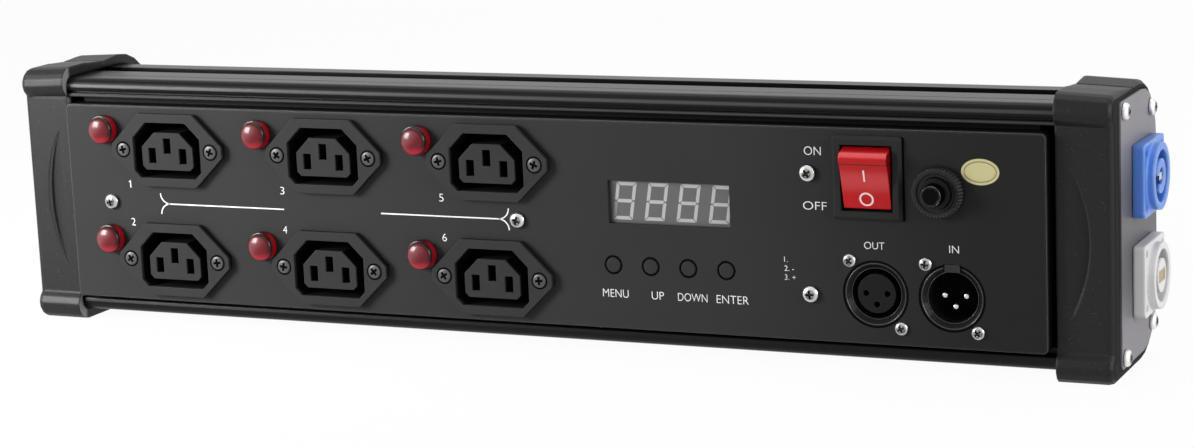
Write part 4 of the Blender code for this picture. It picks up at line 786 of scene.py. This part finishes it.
def prism(name, outline, low, high, top_scale=1.0):
    """A solid swept from an outline along the local z axis."""
    count = len(outline)
    verts = [(x, y, low) for x, y in outline]
    verts += [(x * top_scale, y * top_scale, high) for x, y in outline]
    faces = [tuple(reversed(range(count))), tuple(range(count, 2 * count))]
    faces += [(index, after, after + count, index + count) for index, after in around(count)]
    return new_piece(name, verts, faces)


def sheet(name, outlines, out=0.0):
    """Flat printed shapes, each one filled outline."""
    verts = []
    faces = []
    for outline in outlines:
        faces.append(tuple(range(len(verts), len(verts) + len(outline))))
        verts += [(x, y, out) for x, y in outline]
    return new_piece(name, verts, faces)


def band(outer, inner):
    """Four-sided faces between two outlines with the same number of points."""
    return [
        (outer[index], outer[after], inner[after], inner[index]) for index, after in around(len(outer))
    ]


def stroke(points, width):
    """A drawn line of even width along some points."""
    left = []
    right = []
    for index, (x, y) in enumerate(points):
        before = points[max(index - 1, 0)]
        after = points[min(index + 1, len(points) - 1)]
        along = Vector((after[0] - before[0], after[1] - before[1])).normalized()
        side = Vector((-along.y, along.x)) * width / 2
        left.append((x + side.x, y + side.y))
        right.append((x - side.x, y - side.y))
    return [
        (right[index - 1], right[index], left[index], left[index - 1]) for index in range(1, len(points))
    ]


def shaped_mesh(thing):
    """The mesh that a piece's modifiers or letters give."""
    graph = bpy.context.evaluated_depsgraph_get()
    return bpy.data.meshes.new_from_object(thing.evaluated_get(graph))


def settle(thing):
    """Turn the shape that the piece's modifiers give into its own mesh."""
    mesh = shaped_mesh(thing)
    thing.modifiers.clear()
    thing.data = mesh


def dress(thing, paint):
    thing.data.materials.clear()
    thing.data.materials.append(paint)
    return thing


def set_on(thing, seat, spot, slot, body="pack", stands_for=()):
    """Put a piece on its seat, tie it to its body and hide the nodes that it stands for. The slot is not
    used.
    """
    thing.matrix_world = seat @ Matrix.Translation(Vector(spot))
    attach(thing, body)
    if stands_for:
        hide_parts(*stands_for)


def copy_of(thing, name):
    return linked(name, thing.data)


def remove(*things):
    for thing in things:
        bpy.data.objects.remove(thing)


def flat_ring(inner, outer):
    """Half section of a ring as thin as the printing."""
    return [(inner, 0.0), (outer, 0.0), (outer, SKIN), (inner, SKIN)]


def node_middle(node):
    """A node's middle, in the panel's own axes."""
    low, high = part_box(node)
    middle = (low + high) / 2
    return middle.x - FACE.x, middle.z - FACE.z


def set_round(name, section, paint, node, slot, **ties):
    """Turn a piece and set it on the panel, about a node's middle."""
    set_on(dress(turned(name, section), paint), PANEL, (*node_middle(node), 0.0), slot, **ties)


# Screws


def cross_outline(reach, width):
    """A plus sign, one arm after another."""
    half = width / 2
    arm = [(reach, -half), (reach, half), (half, half)]
    outline = []
    for _ in range(4):
        outline += arm
        arm = [(-y, x) for x, y in arm]
    return outline


def screw_mesh(name, sizes, paint, inside):
    """A turned screw whose head stands on z = 0, with a cross recess that narrows as it goes in."""
    radius, rim, top, shank_radius, shank, reach, width, depth = sizes
    stem = [(0.0, -shank), (shank_radius, -shank), (shank_radius, 0.0), (radius, 0.0)]
    dome = arc((0.0, rim), (radius, top - rim), 0.0, 90.0, steps=8)[:-1]
    screw = dress(turned(name, [*stem, *dome, (0.0, top)], SCREW_SIDES), paint)
    cross = cross_outline(reach, width)
    above = top + depth * RECESS_OVER
    cutter = dress(prism("recess", cross, above, top - depth, RECESS_NARROWING), inside)
    cutter.data.flip_normals()
    cut = screw.modifiers.new("recess", "BOOLEAN")
    cut.operation = "DIFFERENCE"
    cut.solver = "EXACT"
    cut.material_mode = "TRANSFER"
    cut.object = cutter
    settle(screw)
    remove(cutter)
    return screw


def add_screws():
    """Heads of the panel's and the plates' screws, and the small screws of connectors and outlets."""
    pan = screw_mesh("pan", PAN, SCREW_SILVER, RECESS)
    plate = screw_mesh("plate", PLATE_PAN, PLATE_SCREW, RECESS)
    small = screw_mesh("small", SMALL_PAN, SCREW_SILVER, RECESS)
    sunk = screw_mesh("sunk", SUNK, SCREW_GREY, DARK)
    gap = dress(turned("seat_ring", flat_ring(*OUTLET_SCREW_GAP), SCREW_SIDES), DARK)
    turns = itertools.cycle(Matrix.Rotation(math.radians(turn), 4, "Z") for turn in SCREW_TURNS)
    origin = (0.0, 0.0, 0.0)
    for key in ("left", "middle", "upper_right", "lower_right"):
        node = "panel_screw_" + key
        seat = PANEL @ Matrix.Translation((*node_middle(node), SCREW_SEAT)) @ next(turns)
        set_on(copy_of(pan, node + "_head"), seat, origin, "nickel", stands_for=[node])
    reach = PLATE_OUTER + SCREW_SEAT - FACE.x
    for side, out, turn in (("left", -1.0, TURN_LEFT), ("right", 1.0, TURN_RIGHT)):
        for key in ("upper_front", "upper_back", "lower_front", "lower_back"):
            node = side + "_screw_" + key
            low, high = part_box(node)
            middle = Vector((FACE.x + out * reach, (low.y + high.y) / 2, (low.z + high.z) / 2))
            seat = Matrix.Translation(middle) @ turn @ next(turns)
            set_on(copy_of(plate, node + "_head"), seat, origin, "nickel", stands_for=[node])
    for name in ("signal_out_socket", "signal_in_plug"):
        x, y = node_middle(name)
        for number, (dx, dy) in enumerate(SIGNAL_SCREWS, 1):
            seat = PANEL @ Matrix.Translation((x + dx, y + dy, 0.0)) @ next(turns)
            set_on(copy_of(small, "%s_screw_%d" % (name, number)), seat, origin, "nickel")
    for outlet in range(1, 7):
        node = "outlet_%d" % outlet
        x, y = node_middle(node)
        face = FACE.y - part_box(node)[0].y
        for number, dx in enumerate((-OUTLET_SCREW_REACH, OUTLET_SCREW_REACH), 1):
            seat = PANEL @ Matrix.Translation((x + dx, y, face)) @ next(turns)
            set_on(copy_of(sunk, "%s_screw_%d" % (node, number)), seat, origin, "outlet_plastic")
            set_on(copy_of(gap, "%s_screw_gap_%d" % (node, number)), seat, origin, "outlet_plastic")
    remove(pan, plate, small, sunk, gap)


# Lamps, keys, rocker and breaker


def add_lamps():
    dome = arc((0.0, LENS_DOME_FOOT), LENS_DOME_RADII, 0.0, 90.0, steps=12)[:-1]
    crown = (0.0, LENS_DOME_FOOT + LENS_DOME_RADII[1])
    lens = dress(turned("lens", [*LENS_SECTION, *dome, crown]), PAINTS["lamp_lens"])
    for number in range(1, 7):
        node = "indicator_lamp_%d" % number
        lamp = copy_of(lens, node + "_lens")
        set_on(lamp, PANEL, (*node_middle(node), 0.0), "lamp_lens", stands_for=[node])
    remove(lens)


def add_keys():
    """Flat caps with a rounded edge, a dark gap below each edge and a dark ring on the panel."""
    for name in ("key_menu", "key_up", "key_down", "key_enter"):
        set_round(name + "_cap", KEY_SECTION, KEY_CAP, name, "key_plastic", body=name, stands_for=[name])
        set_round(name + "_gap", KEY_GAP_SECTION, DARK, name, "key_plastic", body=name)
        set_round(name + "_rim", flat_ring(*KEY_RIM), DARK, name, "panel_paint")


def add_rocker():
    """The paddle in its off position, with its two marks. Its outline is drawn as (out, up)."""
    top = ROCKER_TOP
    roll_centre = (FACE.y - ROCKER_LOW.y - ROCKER_ROLL, top - ROCKER_ROLL_DROP)
    roll = arc(roll_centre, (ROCKER_ROLL, ROCKER_ROLL), ROCKER_ROLL_START, 90.0, steps=14)
    crease_out, crease_up = roll[0]
    foot_out, foot_up = ROCKER_FOOT_OUT, top - ROCKER_FOOT_DROP
    face = [
        (
            crease_out + (foot_out - crease_out) * share - ROCKER_HOLLOW * 4 * share * (1 - share),
            crease_up + (foot_up - crease_up) * share,
        )
        for share in (0.25, 0.5, 0.75, 1.0)
    ]
    outline = roll[::-1] + face + [(out, top - drop) for out, drop in ROCKER_BACK]
    count = len(outline)
    verts = [(side * ROCKER_HALF, up, out) for side in (-1, 1) for out, up in outline]
    faces = [tuple(range(count)), tuple(reversed(range(count, 2 * count)))]
    faces += [(index, index + count, after + count, after) for index, after in around(count)]
    rocker = new_piece("rocker_paddle", verts, faces, smooth=True)
    rounding = rocker.modifiers.new("rounding", "BEVEL")
    rounding.width = ROCKER_ROUNDING
    rounding.segments = 2
    rounding.limit_method = "ANGLE"
    rounding.angle_limit = math.radians(ROCKER_ROUNDING_ANGLE)
    settle(rocker)
    dress(rocker, PAINTS["rocker_plastic"])
    x = node_middle("rocker")[0]
    set_on(rocker, PANEL, (x, 0.0, 0.0), "rocker_plastic", body="rocker", stands_for=["rocker"])

    # The marks' seat: the origin on the crease, and y up along the face
    crease = Vector((x, crease_up, crease_out))
    slope = crease - Vector((x, foot_up, foot_out))
    length = slope.length
    across = Vector((1.0, 0.0, 0.0))
    up = slope.normalized()
    turn = Matrix((across, up, across.cross(up))).transposed().to_4x4()
    seat = PANEL @ Matrix.Translation(crease) @ turn
    bar = stroke([(0.0, height) for height in MARK_LINE], MARK_LINE_WIDTH)
    line = dress(sheet("rocker_line_mark", bar, SKIN), RED_MARK)
    set_on(line, seat, (0.0, 0.0, -MARK_SINK), "rocker_plastic", body="rocker")
    ring = band(*(circle(radius, MARK_SIDES) for radius in MARK_RING))
    mark = dress(sheet("rocker_ring_mark", ring, SKIN), RED_MARK)
    set_on(mark, seat, (0.0, MARK_RING_RISE - length, -MARK_SINK), "rocker_plastic", body="rocker")


def ridged(radius, steps):
    """A circle. On the nut's own radius every second point lies in a notch."""
    notch = NUT_NOTCH if radius == NUT_RADIUS else 0.0
    outlines = circle(radius, steps), circle(radius - notch, steps)
    return [outlines[index % 2][index] for index in range(steps)]


def add_breaker():
    """A knurled ring nut that rises to an inner ring, and the button's cap with a glossy edge."""
    section = [(NUT_RADIUS - inset, height) for height, inset in NUT_SECTION]
    section += [(NUT_BORE, NUT_SECTION[-1][0]), (NUT_BORE, NUT_SECTION[0][0])]
    nut = dress(turned("breaker_ring", section, 2 * NUT_RIDGES, ridged), NUT)
    spot = (*node_middle("breaker_nut"), 0.0)
    set_on(nut, PANEL, spot, "connector_plastic", stands_for=["breaker_nut"])
    node = "breaker_button"
    set_round(node + "_cap", BUTTON_SECTION, BUTTON, node, "key_plastic", body=node, stands_for=[node])
    set_round(node + "_edge", BUTTON_EDGE_SECTION, RING_GLOSS, node, "key_plastic", body=node)


# Signal and power connectors


def add_rims():
    """Glossy beads on the signal connectors' rings, the dark gaps beside them, and a strip of painted
    shadow beside the rocker's frame.
    """
    kinds = (
        ("bead", BEAD_SECTION, RING_GLOSS), ("step", STEP_SECTION, RING_GLOSS),
        ("gap", flat_ring(*SIGNAL_GAP), DARK),
    )
    for node in ("signal_out_socket", "signal_in_plug"):
        for kind, section, paint in kinds:
            set_round("%s_%s" % (node, kind), section, paint, node, "connector_plastic")
    # Painted shadow beside the right side of the rocker's frame
    low, high = (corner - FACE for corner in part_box("rocker_frame"))
    strip = [(high.x + x, low.z + y) for x, y in FRAME_SHADOW_FOOT]
    strip += [(high.x + x, high.z + y) for x, y in FRAME_SHADOW_TOP]
    shade = dress(prism("rocker_frame_shadow", strip, 0.0, SKIN), DARK)
    set_on(shade, PANEL, (0.0, 0.0, 0.0), "connector_plastic")


def add_signal_details():
    """Bright tips on the plug's pins, and the flush release tab over its ring."""
    x, y = node_middle("signal_in_plug")
    pin = dress(turned("pin_tip", PIN_TIP_SECTION, PIN_SIDES), PAINTS["nickel"])
    for number, (dx, dy) in enumerate(((-1, 0), (1, 0), (0, -1)), 1):
        spot = (x + dx * PIN_CIRCLE, y + dy * PIN_CIRCLE, 0.0)
        set_on(copy_of(pin, "signal_in_pin_%d" % number), PANEL, spot, "nickel")
    remove(pin)
    half = TAB_WIDTH / 2
    outline = [
        (-half, TAB_LOW), (half, TAB_LOW), (half, TAB_HIGH - TAB_CORNER), (half - TAB_CORNER, TAB_HIGH),
        (-half + TAB_CORNER, TAB_HIGH), (-half, TAB_HIGH - TAB_CORNER),
    ]
    tab = dress(prism("signal_in_tab", outline, *TAB_SPAN), PAINTS["key_plastic"])
    set_on(tab, PANEL, (x + TAB_X, y, 0.0), "key_plastic")
    outline = box_outline((-SLIT_HALF, SLIT_HALF), (TAB_LOW, TAB_HIGH))
    for side in (-1, 1):
        slit = dress(prism("signal_in_slit_%d" % (side + 2), outline, *SLIT_SPAN), DARK)
        set_on(slit, PANEL, (x + TAB_X + side * (half + SLIT_HALF), y, 0.0), "connector_plastic")


def post_outlines(keyed):
    """The face of a connector's centre post: a ring open on one side, or two halves round a window."""
    if keyed:
        outer = arc((0.0, 0.0), (POST_RADIUS, POST_RADIUS), *POST_ANGLES, steps=40)
        inner = arc((0.0, 0.0), (POST_BORE, POST_BORE), *reversed(POST_ANGLES), steps=24)
        return [outer + inner]
    halves = []
    for side in (1, -1):
        rim = arc((0.0, 0.0), (POST_RADIUS, side * POST_RADIUS), 0.0, 180.0, steps=24)
        window = [(-WINDOW_REACH, 0.0), (-WINDOW_REACH, side * WINDOW_RISE),
                  (WINDOW_REACH, side * WINDOW_RISE), (WINDOW_REACH, 0.0)]
        outline = rim + window
        halves.append(outline if side > 0 else outline[::-1])
    return halves


def add_power_details():
    """Fixing holes on the flanges, the centre posts' faces and the contacts in them."""
    window = ((-WINDOW_REACH, WINDOW_REACH), WINDOW_RISE)
    kinds = (
        ("power_inlet", "inlet_plastic", INLET_SHADE, "nickel", True, INLET_CONTACT),
        ("power_outlet", "outlet_grey", OUTLET_SHADE, "brass", False, window),
    )
    mark = [(0.0, SKIN), (POWER_HOLE_RADIUS, SKIN), (POWER_HOLE_RADIUS, 2 * SKIN), (0.0, 2 * SKIN)]
    for node, slot, shade, contact_slot, keyed, (ends, rise) in kinds:
        low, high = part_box(node)
        middle = Vector((high.x, (low.y + high.y) / 2, (low.z + high.z) / 2))
        seat = Matrix.Translation(middle) @ TURN_RIGHT
        reach_y = (high.y - low.y) / 2 - POWER_HOLE_INSET
        reach_z = (high.z - low.z) / 2 - POWER_HOLE_INSET
        for number, (side_y, side_z) in enumerate(((-1, -1), (-1, 1), (1, 1), (1, -1)), 1):
            # Each fixing hole is a flat disc in a darker tone: painted shade
            hole = dress(turned("%s_hole_%d" % (node, number), mark, steps=32), shade)
            set_on(hole, seat, (side_y * reach_y, side_z * reach_z, -POWER_RING_HEIGHT), slot)
        for number, outline in enumerate(post_outlines(keyed), 1):
            post = dress(prism("%s_post_%d" % (node, number), outline, *POST_SPAN), PAINTS[slot])
            set_on(post, seat, (0.0, 0.0, 0.0), slot)
        outline = box_outline(ends, (-rise, rise))
        contact = dress(prism(node + "_contact", outline, *CONTACT_SPAN), PAINTS[contact_slot])
        set_on(contact, seat, (0.0, 0.0, 0.0), contact_slot)


# Printing, sticker and display


def word_mesh(name, words, height, length=None):
    """Printed words, with capitals of one height. With a length they fill it, about their middle."""
    curve = bpy.data.curves.new(name, "FONT")
    curve.body = words
    curve.offset = PRINT_BOLDNESS
    curve.align_x = "CENTER" if length else "LEFT"
    curve.align_y = "CENTER"
    letters = linked(name, curve)
    bpy.context.view_layer.update()
    mesh = shaped_mesh(letters)
    remove(letters)
    across = [vertex.co.x for vertex in mesh.vertices]
    up = [vertex.co.y for vertex in mesh.vertices]
    scale = height / (max(up) - min(up))
    stretch = length / (max(across) - min(across)) if length else scale
    shift = (min(across) + max(across)) / 2 if length else min(across)
    middle = Matrix.Translation((-shift, -(max(up) + min(up)) / 2, 0.0))
    mesh.transform(Matrix.Diagonal((stretch, scale, scale, 1.0)) @ middle)
    return dress(linked(name, mesh), WHITE_INK)


def digit_one(name):
    """A one with a long flag."""
    height = DIGIT_HEIGHT
    flag = [(x * height, y * height) for x, y in ONE_FLAG]
    stem = [flag[-1], (flag[-1][0], -height / 2)]
    strokes = stroke(flag, height * ONE_FLAG_WIDTH) + stroke(stem, height * ONE_STEM_WIDTH)
    return dress(sheet(name, strokes), WHITE_INK)


def add_printing():
    for digit, x, y in DIGITS:
        name = "print_digit_" + digit
        mark = digit_one(name) if digit == "1" else word_mesh(name, digit, DIGIT_HEIGHT, DIGIT_WIDTH)
        set_on(mark, PANEL, (x, y, SKIN), "panel_paint")
    for words, x, y, height, length in WORDS:
        mark = word_mesh("print_" + words.lower(), words, height, length)
        set_on(mark, PANEL, (x, y, SKIN), "panel_paint")
    for number, (words, y) in enumerate(PIN_LINES, 1):
        mark = word_mesh("print_pin_%d" % number, words, PIN_LINES_HEIGHT)
        set_on(mark, PANEL, (PIN_LINES_X, y, SKIN), "panel_paint")
    for number, (joint_x, joint_y, far_x) in enumerate(BRACKETS, 1):
        away = 1.0 if far_x > joint_x else -1.0
        shapes = stroke([(joint_x, joint_y), (far_x, joint_y)], STROKE)
        for side in (1.0, -1.0):
            centre = (joint_x, joint_y + side * BRACKET_RISE)
            radii = (-away * BRACKET_REACH, -side * BRACKET_RISE)
            shapes += stroke(arc(centre, radii, 0.0, 90.0, steps=9), STROKE)
        mark = dress(sheet("print_bracket_%d" % number, shapes), WHITE_INK)
        set_on(mark, PANEL, (0.0, 0.0, SKIN), "panel_paint")


def add_sticker():
    paper = dress(sheet("sticker", [oval(STICKER_HALF)]), STICKER_INK)
    set_on(paper, PANEL, (*STICKER, SKIN), "panel_paint")
    wide, high = STICKER_HALF
    line = band(*(oval((wide * x, high * y)) for x, y in (STICKER_LINE_OUTER, STICKER_LINE_INNER)))
    mark = dress(sheet("sticker_line", line), STICKER_LINE)
    set_on(mark, PANEL, (*STICKER, 2 * SKIN), "panel_paint")


def segment_outlines():
    """The bars of one digit about its middle, with mitred ends: three crossbars and four uprights."""
    wide, high = SEGMENT_HALF_WIDTH, SEGMENT_HALF_HEIGHT
    thick, gap = SEGMENT_THICKNESS, SEGMENT_GAP
    inner = wide - thick - gap
    tip = inner + thick / 2
    crossbars = [
        [(gap - wide, level * high), (-inner, level * (high - thick)), (inner, level * (high - thick)),
         (wide - gap, level * high)]
        for level in (-1, 1)
    ]
    crossbars.append([
        (-tip, 0.0), (-inner, -thick / 2), (inner, -thick / 2), (tip, 0.0), (inner, thick / 2),
        (-inner, thick / 2),
    ])
    uprights = [
        [(side * wide, level * (high - gap)), (side * (wide - thick), level * (high - thick - gap)),
         (side * (wide - thick), level * (thick / 2 + gap)), (side * (wide - thick / 2), level * gap),
         (side * wide, level * gap * 2)]
        for side in (-1, 1)
        for level in (-1, 1)
    ]

    def slanted(points):
        return [(x + y * SEGMENT_SLANT, y) for x, y in points]

    return [slanted(bar) for bar in crossbars], [slanted(post) for post in uprights]


def add_display():
    """Four digits. The first upright of the first digit is faint."""
    face = FACE.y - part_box("display_module")[0].y
    bars, posts = segment_outlines()
    first = [("bars", bars, SEGMENT_BRIGHT), ("posts", posts[1:], SEGMENT_BRIGHT),
             ("faint_post", posts[:1], SEGMENT_DIM)]
    other = [("bars", bars, SEGMENT_BRIGHT), ("posts", posts, SEGMENT_BRIGHT)]
    for number in range(1, 5):
        spot = (SEGMENT_FIRST_X + (number - 1) * SEGMENT_PITCH, SEGMENT_MIDDLE_Y, face + SKIN)
        for kind, outlines, paint in first if number == 1 else other:
            segments = dress(sheet("digit_%d_%s" % (number, kind), outlines), paint)
            set_on(segments, PANEL, spot, "display_face")


# Stage, light and camera


def add_stage():
    """A pale floor that keeps the object's shadow."""
    paint = Paint("pale_floor")
    base = paint.blend(paint.noise(3.0), grey(0.80), grey(0.84))
    paint.set(Base_Color=base, Roughness=0.9, Specular_IOR_Level=0.0)
    rays = background_rays(paint)
    glow = paint.make("ShaderNodeEmission", {"Color": grey(1.0), "Strength": 1.0})
    plain = Wire(paint, paint.shader.outputs[0])
    mixed = paint.make("ShaderNodeMixShader", [rays * FLOOR_WHITE, plain, glow])
    paint.feed(paint.output.inputs["Surface"], mixed)
    span = (-FLOOR_HALF, FLOOR_HALF)
    floor = sheet("floor", [box_outline(span, span)])
    dress(floor, paint.material)


def background_rays(nodes):
    """1 for a camera, glossy or transmitted ray, and 0 for light on the object."""
    camera, glossy, through = (
        nodes.make("ShaderNodeLightPath", output="Is %s Ray" % kind)
        for kind in ("Camera", "Glossy", "Transmission")
    )
    return (camera + glossy + through).math("MINIMUM", 1.0)


def add_world():
    world = bpy.data.worlds.new("studio")
    bpy.context.scene.world = world
    world.use_nodes = True
    nodes = Nodes(world.node_tree)
    plain = nodes.make("ShaderNodeBackground", {"Color": grey(1.0), "Strength": WORLD_STRENGTH})
    white = nodes.make("ShaderNodeBackground", {"Color": grey(1.0), "Strength": 1.0})
    mixed = nodes.make("ShaderNodeMixShader", [background_rays(nodes), plain, white])
    nodes.make("ShaderNodeOutputWorld", {"Surface": mixed})


def add_light(name, place, aim, size, watts, spread):
    light = bpy.data.lights.new(name, "AREA")
    light.shape = "RECTANGLE"
    light.size, light.size_y = size
    light.energy = watts
    light.spread = math.radians(spread)
    thing = linked(name, light)
    thing.location = place
    thing.rotation_euler = (Vector(place) - Vector(aim)).to_track_quat("Z", "Y").to_euler()


def add_camera():
    data = bpy.data.cameras.new("photo_camera")
    data.sensor_width = CAMERA_SENSOR
    data.lens = CAMERA_LENS
    data.shift_x, data.shift_y = CAMERA_SHIFT
    camera = linked("photo_camera", data)
    aside = Matrix.Rotation(math.radians(CAMERA_AZIMUTH), 4, "Z")
    down = Matrix.Rotation(math.radians(90.0 - CAMERA_ELEVATION), 4, "X")
    roll = Matrix.Rotation(math.radians(CAMERA_ROLL), 4, "Z")
    camera.matrix_world = Matrix.Translation(FACE + CAMERA_FROM_FACE) @ aside @ down @ roll
    bpy.context.scene.camera = camera
    bpy.context.scene.view_settings.view_transform = "Standard"


def dress_frame():
    """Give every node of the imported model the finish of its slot."""
    slots = {part["node"]: part["material_slot"] for part in frame["record"]["subparts"]}
    for name, node in frame["nodes"].items():
        dress(node, NODE_PAINTS.get(name, PAINTS[slots[name]]))


dress_frame()
add_screws()
add_lamps()
add_keys()
add_rocker()
add_breaker()
add_rims()
add_signal_details()
add_power_details()
add_printing()
add_sticker()
add_display()
add_stage()
add_world()
for light in LIGHTS:
    add_light(*light)
add_camera()
